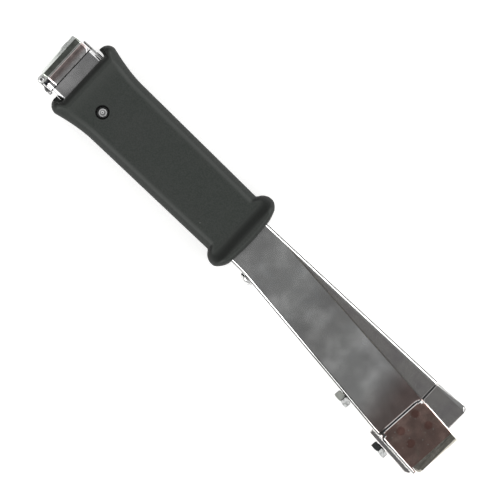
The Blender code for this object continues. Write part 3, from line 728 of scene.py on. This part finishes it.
def coil(radius, wire, length, turns):
    """Helical spring about local Z, from its middle line's height 0 up to length."""
    steps, wire_sides = 12, 8
    bm = bmesh.new()
    rings = []
    total = turns * steps
    for i in range(total + 1):
        angle = TAU * i / steps
        out = Vector((math.cos(angle), math.sin(angle), 0))
        centre = out * radius + Vector((0, 0, length * i / total))
        ring = []
        for j in range(wire_sides):
            turn = TAU * j / wire_sides
            offset = out * math.cos(turn) * wire + Vector((0, 0, wire * math.sin(turn)))
            ring.append(bm.verts.new(centre + offset))
        rings.append(ring)
    for ring_a, ring_b in zip(rings, rings[1:]):
        bridge(bm, ring_a, ring_b)
    bm.faces.new(rings[0])
    bm.faces.new(rings[-1])
    return bm


# ---- body


def lean_at(x):
    return HEAD_LEAN * smooth_step(x, BEND_X, 225)


def flange_y(x):
    """Free edge of the side walls: lowered inside the grip, level at first, then falling."""
    if x < WAIST_X:
        return FLANGE_REAR_Y
    lowered = FLANGE_REAR_Y - (FLANGE_REAR_Y - FLANGE_LEVEL_Y) * smooth_step(x, WAIST_X, 108)
    edge = min(lowered, FLANGE_REAR_Y - FLANGE_FALL * (x - WAIST_X))
    return edge + 0.55 * smooth_step(x, 239, 245)


def step_curve(distance, height):
    """Share of a pressed step's height, at a distance from its middle: two arcs, back to back."""
    lean = math.radians(65)
    radius = height / (2 * (1 - math.cos(lean)))
    reach = radius * math.sin(lean)
    inward = reach - min(abs(distance), reach)
    rise = radius - math.sqrt(radius * radius - inward * inward)
    return rise / height if distance < 0 else 1 - rise / height


def pad_share(x, y):
    """How far the side wall has stepped out into the head's raised pad, 0 to 1."""
    top = flange_y(x)
    bottom = web_y(x) + BODY_BEND
    edge = PAD_X
    for limit, reach, towards in ((top, 4.4, 1), (bottom, 2.6, -1)):
        beyond = max(0.0, reach - towards * (limit - y)) / reach
        edge += reach * (1 - math.sqrt(max(0.0, 1 - min(1.0, beyond) ** 2)))
    return step_curve(x - edge, HEAD_HALF - BODY_HALF)


def body_rows(x):
    """The outer face of the channel at one station, as (x, y, z) from edge to edge."""
    web = web_y(x)
    lean = lean_at(x)
    edge = flange_y(x + lean * 28)
    bend = TAIL_BEND + (BODY_BEND - TAIL_BEND) * smooth_step(x, 0, WAIST_X)
    bend_top = web + bend
    half = []
    for drop, back in ((0.34, 0.0), (0.13, 0.32), (0.0, 0.75)):
        wall = BODY_HALF + (HEAD_HALF - BODY_HALF) * pad_share(x, edge - back)
        half.append((edge - back, wall - drop * smooth_step(x, 238, 241)))
    for i in range(1, 25):
        y = edge - 0.75 + (bend_top - edge + 0.75) * i / 24
        half.append((y, BODY_HALF + (HEAD_HALF - BODY_HALF) * pad_share(x, y)))
    half += bend_rows(web, half[-1][1], bend, 1, first=1)
    half += [(web, 6.6), (web, 3.3)]
    rows = half + [(web, 0.0)] + [(y, -z) for y, z in reversed(half)]
    return [(x + lean * (y - web), y, z) for y, z in rows]


def make_body():
    stations = spaced(BODY_REAR, -26, 3) + spaced(-26, 96, 20)[1:] + spaced(96, 232, 8)[1:]
    stations += [234, 235.5] + spaced(236.3, 244.5, 0.18) + spaced(246, SEAM_X, 3)
    stations += spaced(SEAM_X, WEB_FRONT_X, 1.5)[1:]
    rows = [body_rows(x) for x in stations]
    wall_rows = 26
    last = len(rows[0]) - 1

    def in_body(x, i):
        on_wall = i < wall_rows or i >= last - wall_rows
        on_web = wall_rows + 9 <= i < last - wall_rows - 9
        past_seam = x > SEAM_X + 0.1 and on_wall
        in_notch = x < -25.9 and on_web
        return not past_seam and not in_notch

    body = sheet("body_shell", stations, rows, in_body)
    thicken(body, BODY_THICK, even=True)
    drill(body, turned([(3.7, -6), (3.7, 6)]), *on_web(STOP_BOLT_X))
    soften(body, 0.22, angle=50, spare=lambda p: p.x > 262.5 and p.y > web_y(p.x) + BODY_BEND)
    paint(body, BODY_PLATE, HEAD_PLATE, PAINTED_SHADE, CUT_EDGE)
    for face in body.data.polygons:
        centre = (face.center - PIVOT) / MM
        steep = abs(face.normal.z) < 0.82
        on_step = BODY_HALF + 0.2 < abs(centre.z) < HEAD_HALF - 0.2
        if abs(face.normal.z) > 0.9 and abs(centre.z) > HEAD_HALF - 0.1:
            face.material_index = 1
        # Painted shade on the steep part of the head's pressed step.
        elif steep and on_step and centre.x < 242 and centre.y > web_y(centre.x) + BODY_BEND:
            face.material_index = 2
        elif face.normal.y > 0.4 and 100 < centre.x < 236 and centre.y > 0:
            face.material_index = 3
    dress(body, "hammer", BODY_PLATE, "body_channel", smooth=32)


def make_head_front():
    """Folded inner plate whose front strip shows past the side walls' seam."""
    half = 9.7
    wall = 1.2
    outline = [(244.5, 3.2), (272.3, 0.3), (269.6, -23.6)]
    outline += arc((267.2, -25.9), 2.4, 10, -80, 6)
    outline += [(242.4, -25.9)]
    bm = prism(outline, -half, half)
    round_edges(bm, 1.5, 5, lambda p: p.x > 267)
    piece = raw_object("head_front", bm)
    inside = [(230, 20), (273.2 - wall, 20), (269.0 - wall, -22.4), (267.2 - wall, -35), (230, -35)]
    drill(piece, prism(inside, -half + wall, half - wall))
    soften(piece, 0.2)
    dress(piece, "hammer", FRONT_STRIP, "head_front_plate")


def make_handle_cover():
    half, thick, bend, web, edge = 8.0, 1.0, 1.6, 21.3, 17.4
    rows = mirrored([(edge, half), (19.0, half), *bend_rows(web, half, bend, -1)])
    stations = spaced(-29.8, WAIST_X, 12)
    cover = sheet("cover_shell", stations, [[(x, y, z) for y, z in rows] for x in stations])
    thicken(cover, thick)
    soften(cover, 0.2, angle=50)
    dress(cover, "hammer", BODY_PLATE, "handle_cover")


def make_catch_strip():
    bm = strip([(-35.5, 22.35), (-30, 22.35), (-20, 22.35), (-8, 22.35)], 1.5, 5.0)
    piece = raw_object("catch_spring", bm)
    soften(piece, 0.6, segments=4)
    dress(piece, "hammer", BRIGHT, "catch_strip")


def make_driver_strap():
    rear_x, bevel_x, front_x = 233.0, 262.5, 265.4
    outline = [
        (rear_x, web_y(rear_x) - 0.3),
        (front_x, web_y(front_x) - 0.3),
        (front_x - 0.2, web_y(front_x) - 1.7),
        (bevel_x, web_y(bevel_x) - 3.2),
        (rear_x + 0.3, web_y(rear_x) - 3.2),
    ]
    piece = raw_object("clamp_strap", prism(outline, -6.5, 6.5))
    soften(piece, 0.5, segments=4)
    dress(piece, "hammer", SATIN, "driver_strap")


# ---- fasteners


def hex_rings(flats, low, high):
    """Rings of a hexagon whose corners are turned off in a cone at its top."""
    cone = math.tan(math.radians(28))
    wedge = math.radians(60)
    corner = 0.5 * flats / math.cos(wedge / 2)
    face = 0.475 * flats
    depth = (corner - face) * cone

    def reach(angle):
        return min(0.98 * corner, 0.5 * flats / math.cos((angle + wedge / 2) % wedge - wedge / 2))

    def ring(down):
        limit = face + down / cone
        return (lambda angle: min(reach(angle), limit)), high - down

    steps = 6
    return [(reach, low)] + [ring(depth * i / steps) for i in range(steps, -1, -1)]


def outward(x):
    """Unit vector out of the web at x."""
    slope = math.radians(web_tilt(x))
    return Vector((-math.sin(slope), -math.cos(slope), 0))


def on_web(x, away=0.0):
    """Place and turn of a shape that stands on the web at x, its own Z pointing out."""
    return Vector((x, web_y(x), 0)) + outward(x) * away, (90, 0, -web_tilt(x))


def make_hex_bolt(name, node, body, x, away, head, shank, tail_shade):
    """Bolt in the web, with painted dark reflections on its blunt corners and painted shade on the facets
    towards the tail.
    """
    washer_face = 0.45
    rings = [(2.3, -shank), (2.7, -shank + 0.5), (2.7, 0.0), (4.6, 0.0), (4.6, washer_face)]
    rings += hex_rings(HEX_FLATS, washer_face, head)
    rings += [(3.0, head - 0.02), (2.7, head - 0.12)]
    piece = raw_object(name, turned(rings, sides=144), *on_web(x, away))
    paint(piece, WORN, PAINTED_SHADE, tail_shade)
    # Painted dark reflection on the blunt corners, painted shade on the facets that face the tail.
    for face in piece.data.polygons:
        up = face.normal.z
        if abs(face.normal.dot(outward(x))) < 0.1 and (abs(up) > 0.97 or 0.4 < abs(up) < 0.6):
            face.material_index = 1
        elif face.normal.x < -0.25 and up > 0.1:
            face.material_index = 2
    dress(piece, body, WORN, node, smooth=22)


def make_fasteners():
    make_hex_bolt("stop_hex", "stop_bolt", "magazine", STOP_BOLT_X, 0.3, 4.4, 25.0, SHADED_CHROME)
    make_hex_bolt("driver_hex", "driver_bolt", "hammer", STRAP_BOLT_X, 3.5, 3.75, 12.0, PAINTED_SHADE)

    dome = [(3.4, -4.4), (3.4, -3.2), (1.9, -3.2), (1.9, 0.3), (4.3, 0.3), (4.5, 0.45)]
    for i in range(10):
        angle = math.radians(8 + 8 * i)
        dome.append((4.5 * math.cos(angle), 0.6 + 2.65 * math.sin(angle)))
    rivet = raw_object("dome_rivet", turned(dome), *on_web(LEAF_RIVET_X))
    dress(rivet, "hammer", BRIGHT, "leaf_rivet")
    make_pivot_pin()


def make_pivot_pin():
    """Rivet with shallow domed heads and a small raised middle, with a black ring under each head as
    painted shade in the gap round it.
    """
    base = BODY_HALF + 0.3
    rim, dome = 3.25, 10.5
    half = [(2.4, base), (3.2, base), (rim, base + 0.1), (rim, base + 0.6), (rim - 0.1, base + 0.85)]
    for r in (2.95, 2.4, 1.8, 1.2, 0.75):
        half.append((r, base + 1.3 - dome + math.sqrt(dome * dome - r * r)))
    half += [(0.6, base + 1.32), (0.45, base + 1.37), (0.2, base + 1.38)]
    profile = [(r, -z) for r, z in reversed(half)] + half
    pin = raw_object("pivot_rivet", turned(profile))
    dress(pin, "hammer", BRIGHT, "pivot_pin", smooth=50)
    # Black rings: painted shade in the gap between the rivet heads and the grip's hole.
    for i, low in enumerate((BODY_HALF + 0.02, -BODY_HALF - 0.27)):
        ring = [(2.5, low), (4.1, low), (4.1, low + 0.25), (2.5, low + 0.25)]
        washer = raw_object(f"rivet_shade_ring_{i + 1}", turned(ring, through=True))
        dress(washer, "hammer", BUMPER)


# ---- grip


def horn(x):
    return min(1.0, max(0.0, (5.0 - x) / 24.5)) ** 1.7


def bead(x):
    reach = RING_RADIUS if x < RING_X else GRIP_FRONT - RING_X
    share = abs(x - RING_X) / reach
    return math.sqrt(1 - share * share) if share < 1 else 0.0


def soft_max(a, b):
    """The larger of two values, rounded where they cross."""
    blend = 1.6
    overlap = max(0.0, blend - abs(a - b)) / blend
    return max(a, b) + overlap * overlap * blend / 4


def rear_round(x):
    share = max(0.0, (CREST_X - x) / (CREST_X - GRIP_REAR))
    return math.sqrt(max(0.0, 1 - share * share))


def grip_extents(x):
    """Strike edge, back edge and half width of the grip's outside at x."""
    ring_top = 21.5 + RING_RADIUS * bead(x)
    ring_low = 13.5 + RING_RADIUS * bead(x)
    top = 26.9 - 0.0298 * x + 3.8 * horn(x)
    low = 15.25 + 0.0097 * x + 3.6 * horn(x)
    half = GRIP_HALF + 2.6 * horn(x) + (RING_HALF - GRIP_HALF) * smooth_step(x, 98, 108.6) ** 1.2
    if x > RING_X:
        top = ring_top - 2.6 * smooth_step(x, 110, GRIP_FRONT)
        low = ring_low
    else:
        top = soft_max(top, ring_top)
        low = soft_max(low, ring_low)
    if x < CREST_X:
        top = 25.2 + (top - 25.2) * rear_round(x)
        low = 12.6 + (low - 12.6) * rear_round(x)
        half = 12.2 + (half - 12.2) * rear_round(x)
    if x > 108.6:
        share = (x - 108.6) / (GRIP_FRONT - 108.6)
        half = 15.6 + (RING_HALF - 15.6) * math.sqrt(max(0.0, 1 - share * share))
    return top, -low, half


def cavity_extents(x):
    """Strike side, back and half width of the grip's inside at x."""
    top = 24.6 if x < -4 else 21.6
    if x >= WAIST_X + 1:
        top = FLANGE_REAR_Y - FLANGE_FALL * (x - WAIST_X) + 0.3
    return top, web_y(x) - 0.3, BODY_HALF + 0.3


def rounded_loop(top, bottom, half, radius):
    """Rectangle with round corners, as (y, z)."""
    corner_steps = 12
    centres = [
        (top - radius, half - radius),
        (top - radius, radius - half),
        (bottom + radius, radius - half),
        (bottom + radius, half - radius),
    ]
    corners = []
    for k, (y, z) in enumerate(centres):
        angles = [math.pi / 2 * (k + i / corner_steps) for i in range(corner_steps + 1)]
        corners.append([(y + radius * math.sin(a), z + radius * math.cos(a)) for a in angles])
    loop = []
    for k, corner in enumerate(corners):
        loop += corner
        (y, z), (next_y, next_z) = corner[-1], corners[(k + 1) % 4][0]
        gaps = 16 if k % 2 else 6
        for i in range(1, gaps):
            loop.append((y + (next_y - y) * (i / gaps), z + (next_z - z) * (i / gaps)))
    return loop


def grip_shift(x, y, z):
    beside = smooth_step(abs(z), 7.5, 9.8)
    within = smooth_step(y, -14.8, -11.0) * (1 - smooth_step(y, 24.6, 28.0))
    scoop = 4.6 * beside * within * (1 - smooth_step(x, GRIP_REAR, -6.0))
    crown = 1.5 * ((y - 5.0) / 20.0) ** 2 * smooth_step(x, RING_X, GRIP_FRONT)
    return scoop - crown


def make_grip():
    stations = [GRIP_REAR, -25.55, -25.35, -25.0, -24.5, -23.9, -23.1, -22.2, -21.3, -20.4]
    stations += spaced(CREST_X, 5, 1.2) + spaced(5, 92, 8)[1:] + spaced(92, 108.5, 0.7)[1:]
    stations += [108.9, 109.4, 109.9, 110.3, 110.7, 111.0, 111.2, GRIP_FRONT]
    bm = bmesh.new()
    outer_rings = []
    inner_rings = []
    for x in stations:
        outer = rounded_loop(*grip_extents(x), 6.5)
        inner = rounded_loop(*cavity_extents(x), 2.0)
        outer_rings.append([bm.verts.new((x + grip_shift(x, y, z), y, z)) for y, z in outer])
        inner_rings.append([bm.verts.new((x + grip_shift(x, y, z), y, z)) for y, z in inner])
    for rings in (outer_rings, inner_rings):
        for ring_a, ring_b in zip(rings, rings[1:]):
            bridge(bm, ring_a, ring_b)
    for end in (0, -1):
        bridge(bm, outer_rings[end], inner_rings[end])
    grip = raw_object("grip_boot", bm)
    drill(grip, turned([(4.15, -25), (4.15, 25)], sides=64))
    dress(grip, "hammer", RUBBER, "grip", smooth=50)


# ---- magazine


def make_magazine():
    """Inner channel with its web on the strike side."""
    web, half, thick, bend, end_x = 16.9, 6.6, 1.0, 1.6, 241.6
    edges = {-27.0: -3.0, -12.0: -3.0, -7.0: -6.5, 7.0: -6.5, 12.0: -3.0}
    stations = sorted(edges) + spaced(12.0, end_x, 12)[1:] + [250.0, 258.0]
    rows = []
    for x in stations:
        edge = edges.get(x, -3.0)
        section = [(edge + (web - bend - edge) * i / 5, half) for i in range(6)]
        section = mirrored(section + bend_rows(web, half, bend, -1, first=1))
        rows.append([(x, y, z) for y, z in section])
    flange_rows = 5

    def in_channel(x, i):
        return x <= end_x + 0.01 or i < flange_rows or i >= len(rows[0]) - 1 - flange_rows

    channel = sheet("magazine_shell", stations, rows, in_channel)
    thicken(channel, thick)
    drill(channel, turned([(2.7, -10), (2.7, 10)]))
    soften(channel, 0.18, angle=50)
    dress(channel, "magazine", MAGAZINE_PLATE, "magazine_channel", smooth=35)


def make_nose():
    """Folded nose, stepped out over the magazine's end, with the staple slot at its front."""
    half, front, rear = 7.9, 264.7, 243.4
    corner = 2.6
    centre = (front - corner, 17.1 - corner)
    outline = [(rear - 8, 16.2), *reversed(arc(centre, corner, 0, 90, 6))]
    outline += [(front, -8.0), (rear - 8, -8.0)]
    block = prism(outline, -half, half)
    round_edges(block, 1.4, 6, lambda p: p.x > 261 or p.y > 15)
    nose = raw_object("nose_shell", block)
    drill(nose, box((rear - 10, -9, -half + 1), (front - 1.2, 15.6, half - 1)))
    drill(nose, box((261.3, 14, -5.6), (front - 1.2, 20, 5.6)))
    drill(nose, box((rear - 12, -12, -12), (rear, 22, 12)))
    drill(nose, box((rear - 12, -12, -12), (front + 5, -3, 12)))
    soften(nose, 0.2)
    dress(nose, "magazine", NOSE_PLATE, "nose_plate")


def make_nose_shoulder():
    """Sloping shoulder between the magazine's sides and the nose."""
    low, high, bend = 6.72, 7.9, 1.5
    stations = spaced(241.2, 243.45, 0.12)
    rows = []
    for x in stations:
        out = step_curve(x - 242.3, high - low)
        wide = low + (high - low) * out
        top = 16.55 - 0.5 * math.sin(math.pi * out)
        section = [(y, wide) for y in (-3.0, 2.0, 7.0, 12.0)] + bend_rows(top, wide, bend, -1)
        rows.append([(x, y, z) for y, z in mirrored(section)])
    shoulder = sheet("nose_shoulder", stations, rows)
    thicken(shoulder, 0.1)
    paint(shoulder, SATIN, PAINTED_SHADE)
    # Painted shade on the shoulder's steep faces below its bend.
    for face in shoulder.data.polygons:
        if abs(face.normal.z) < 0.95 and face.center.y < row_y(14.9):
            face.material_index = 1
    dress(shoulder, "magazine", SATIN, smooth=60)


# ---- tail


# Half of the tail cap's section, front to middle, as (x, z, bottom y, top y).
CAP_PATH = [
    (-29.6, 11.1, -6.6, 19.5), (-30.9, 11.1, -6.6, 20.7), (-31.4, 11.1, -6.6, 20.9),
    (-33.0, 11.1, -6.7, 20.95), (-34.9, 11.1, -6.7, 20.95), (-35.3, 11.0, -6.75, 20.95),
    (-35.75, 10.9, -6.8, 20.95), (-36.2, 11.0, -6.8, 20.95), (-36.6, 11.1, -6.8, 20.95),
    (-38.0, 11.1, -7.0, 20.95), (-39.5, 11.1, -7.0, 20.95), (-39.6, 11.1, -7.3, 20.9),
    (-40.6, 10.3, -7.3, 20.8), (-41.7, 9.5, -7.0, 20.4), (-42.1, 9.1, -6.6, 20.1),
    (-42.4, 8.5, -6.2, 19.8), (-42.6, 7.8, -5.9, 19.6), (-42.7, 6.9, -5.7, 19.4),
    (-42.7, 3.5, -5.7, 19.4), (-42.7, 0.0, -5.7, 19.4),
]


def make_tail_cap():
    """Sheet cap folded round the magazine's tail, with a pressed crease and turned-in top edges."""
    lip = 1.1
    path = CAP_PATH + [(x, -z, low, high) for x, z, low, high in reversed(CAP_PATH[:-1])]
    columns = []
    for x, z, low, high in path:
        column = []
        rear = smooth_step(-x, 38.0, 42.7)
        side = min(1.0, max(0.0, abs(z) - 9.5))
        hem = [(low, 0.42), (low + 0.45, 0.15)]
        hem += [(low + 0.9 + (high - lip - low - 0.9) * i / 11, 0.0) for i in range(12)]
        for y, turned_in in hem:
            leant = x + rear * 1.3 * (19.4 - y) / 25.1
            column.append((leant, y, z - math.copysign(turned_in * side, z)))
        if abs(z) > 9.5 and x < -30.5:
            for i in range(1, 7):
                angle = math.pi / 2 * i / 6
                y = high - lip + lip * math.sin(angle)
                column.append((x, y, z - math.copysign(lip * (1 - math.cos(angle)), z)))
            column.append((x, high, math.copysign(7.0, z)))
        else:
            for i in range(1, 8):
                column.append((x, high - lip + lip * 0.9 * i / 7, z))
        columns.append(column)
    cap = sheet("cap_shell", path, columns)
    thicken(cap, 1.0)
    soften(cap, 0.2, angle=50)
    dress(cap, "drawer", CAP_PLATE, "tail_cap", smooth=28)


def make_tail_block():
    front = -33.9
    half = 7.7
    outline = [(front, -5.0), (front, 18.4), (-41.1, 18.4), (-40.0, -5.0)]
    block = raw_object("cast_block", prism(outline, -half, half))
    soften(block, 0.5, segments=3)
    dress(block, "drawer", SATIN, "tail_block")
    reach = 2.2
    lug = [(LATCH.x + reach, -4.6), (LATCH.x - 1.6, -4.6), *arc(LATCH, reach, 180, 360, 20)]
    for i, low in enumerate((6.2, -7.4)):
        ear = raw_object(f"latch_lug_{i + 1}", prism(lug, low, low + 1.2))
        soften(ear, 0.2)
        dress(ear, "drawer", PALE_ZINC)


def make_latch():
    """Lever rolled round its pin at one end and into a small curl at the other."""
    roll = arc(LATCH, 1.75, 20, 262, 26)
    path = [(0, -1.75), (3.0, -1.75), (4.3, -1.9), (5.2, -2.6), (6.2, -3.0), (7.2, -2.6)]
    plate = smooth_path([(LATCH.x + x, LATCH.y + y) for x, y in path + [(8.0, -1.75)]])
    curl = arc((LATCH.x + 8.6, LATCH.y - 2.2), 0.75, 135, -150, 16)
    lever = raw_object("latch_tongue", strip([*roll, *plate, *curl], 0.8, 5.8))
    soften(lever, 0.3, segments=3)
    dress(lever, "latch", BRIGHT, "latch_lever", smooth=50)
    # A black block fills the lever's dip.
    dip = [(4.2, -1.35), (8.0, -1.2), (7.3, -2.1), (6.2, -2.55), (5.1, -2.15)]
    pad = raw_object("black_dip_block", prism([(LATCH.x + x, LATCH.y + y) for x, y in dip], -5.7, 5.7))
    dress(pad, "latch", BUMPER)
    half = [(0.9, 7.7), (1.5, 7.7), (1.6, 7.8), (1.55, 8.1), (1.2, 8.35), (0.6, 8.45)]
    profile = [(r, -z) for r, z in reversed(half)] + half
    pin = raw_object("latch_rivet", turned(profile, sides=32), (LATCH.x, LATCH.y, 0))
    dress(pin, "drawer", BRIGHT, "latch_pin")


# ---- springs, and pieces kept from the frame


def dress_spring(piece, node):
    paint(piece, SPRING)
    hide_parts(node)


def make_springs():
    source = frame["nodes"]["leaf_spring"]
    leaf = placed("flex_leaf", source.data.copy())
    leaf.data.transform(source.matrix_world)
    leaf.data.materials.clear()
    dress_spring(leaf, "leaf_spring")
    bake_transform(leaf)

    rear, rod_y, length = -33.4, 9.2, 264.5
    feed = raw_object("feed_coil", coil(1.9, 0.32, length, turns=66), (rear, rod_y, 0), (0, 90, 0))
    feed.data.shade_smooth()
    dress_spring(feed, "pusher_spring")
    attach(feed, "drawer")
    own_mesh(feed)

    latch = raw_object("latch_coil", coil(1.0, 0.26, 4.9, turns=8), (-34.7, -10.6, 0), (-90, 0, 0))
    latch.data.shade_smooth()
    dress_spring(latch, "latch_spring")
    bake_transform(latch)


def finish_frame_pieces():
    """Materials of the pieces whose frame shape is right."""
    plates = ("spring_seat", "pivot_washer_upper", "pivot_washer_lower", "core_rail", "rail_nose_block")
    chromed = ("driver_washer", "driver_nut", "catch_rivet", "stop_nut", "pusher_rod", "cap_rivet_1",
               "cap_rivet_2", "pusher")
    kept = ((SPRING, ("driver_blade",)), (BUMPER, ("rubber_bumper",)), (SATIN, plates), (BRIGHT, chromed))
    for material, nodes in kept:
        for node in nodes:
            piece = frame["nodes"][node]
            piece.data.materials.clear()
            paint(piece, material)


# ---- stage


def make_floor():
    mesh = bpy.data.meshes.new("floor")
    mesh.from_pydata([(-3, -3, 0), (3, -3, 0), (3, 3, 0), (-3, 3, 0)], [], [(0, 1, 2, 3)])
    mesh.materials.append(floor_material())
    placed("floor", mesh)


def make_light(name, at, power):
    light = bpy.data.lights.new(name, "AREA")
    light.shape = "RECTANGLE"
    light.size, light.size_y = 0.9, 0.6
    light.energy = power
    lamp = placed(name, light)
    lamp.location = at
    lamp.rotation_euler = (-Vector(at)).to_track_quat("-Z", "Y").to_euler()


# Brightness of the room by the height of the direction looked in, 0 level and 1 overhead.
SKY = ((0.0, 0.05), (0.10, 0.08), (0.18, 1.0), (0.90, 1.0), (0.97, 0.155))


def make_world():
    """Pale room with a dark line at its foot, and darker straight overhead."""
    world = bpy.data.worlds.new("room")
    bpy.context.scene.world = world
    world.use_nodes = True
    room = Nodes(world.node_tree, "Generated")
    background = room.tree.nodes["Background"]
    brightness = room.add("ValToRGB", "Color", {"Fac": room.part_of(room.coords, "Z")})
    stops = brightness.node.color_ramp.elements
    while len(stops) < len(SKY):
        stops.new(0.5)
    for stop, (height, grey) in zip(stops, SKY):
        stop.position = height
        stop.color = (grey, grey, grey, 1.0)
    room.plug(background.inputs["Color"], brightness)
    towards = {0: room.coords, 1: (0.45, 0.85, 0.0)}
    side = room.add("VectorMath", "Value", towards, operation="DOT_PRODUCT")
    room.plug(background.inputs["Strength"], room.spread(side, -0.8, 0.8, 0.72, 1.08, "LINEAR"))


def make_camera():
    """Straight above the tool, turned so that it lies across the picture."""
    data = bpy.data.cameras.new("camera")
    camera = placed("camera", data)
    distance = 3.0
    view_width = 0.2828
    aim = PIVOT + Vector((113.6, -0.4, 0)) * MM
    data.sensor_width = 36.0
    data.lens = data.sensor_width * distance / view_width
    camera.location = aim + Vector((0, 0, distance))
    camera.rotation_euler = (0, 0, math.radians(42.8))
    bpy.context.scene.camera = camera


def main():
    make_camera()
    make_world()
    make_floor()
    make_light("key", (0.35, 1.0, 0.95), 8.0)
    make_light("fill_back", (-0.3, -1.1, 0.9), 10.0)

    make_body()
    make_head_front()
    make_handle_cover()
    make_catch_strip()
    make_driver_strap()
    make_fasteners()
    make_grip()
    make_magazine()
    make_nose()
    make_nose_shoulder()
    make_tail_cap()
    make_tail_block()
    make_latch()
    make_springs()
    finish_frame_pieces()

    bpy.context.scene.view_settings.view_transform = "Standard"


main()
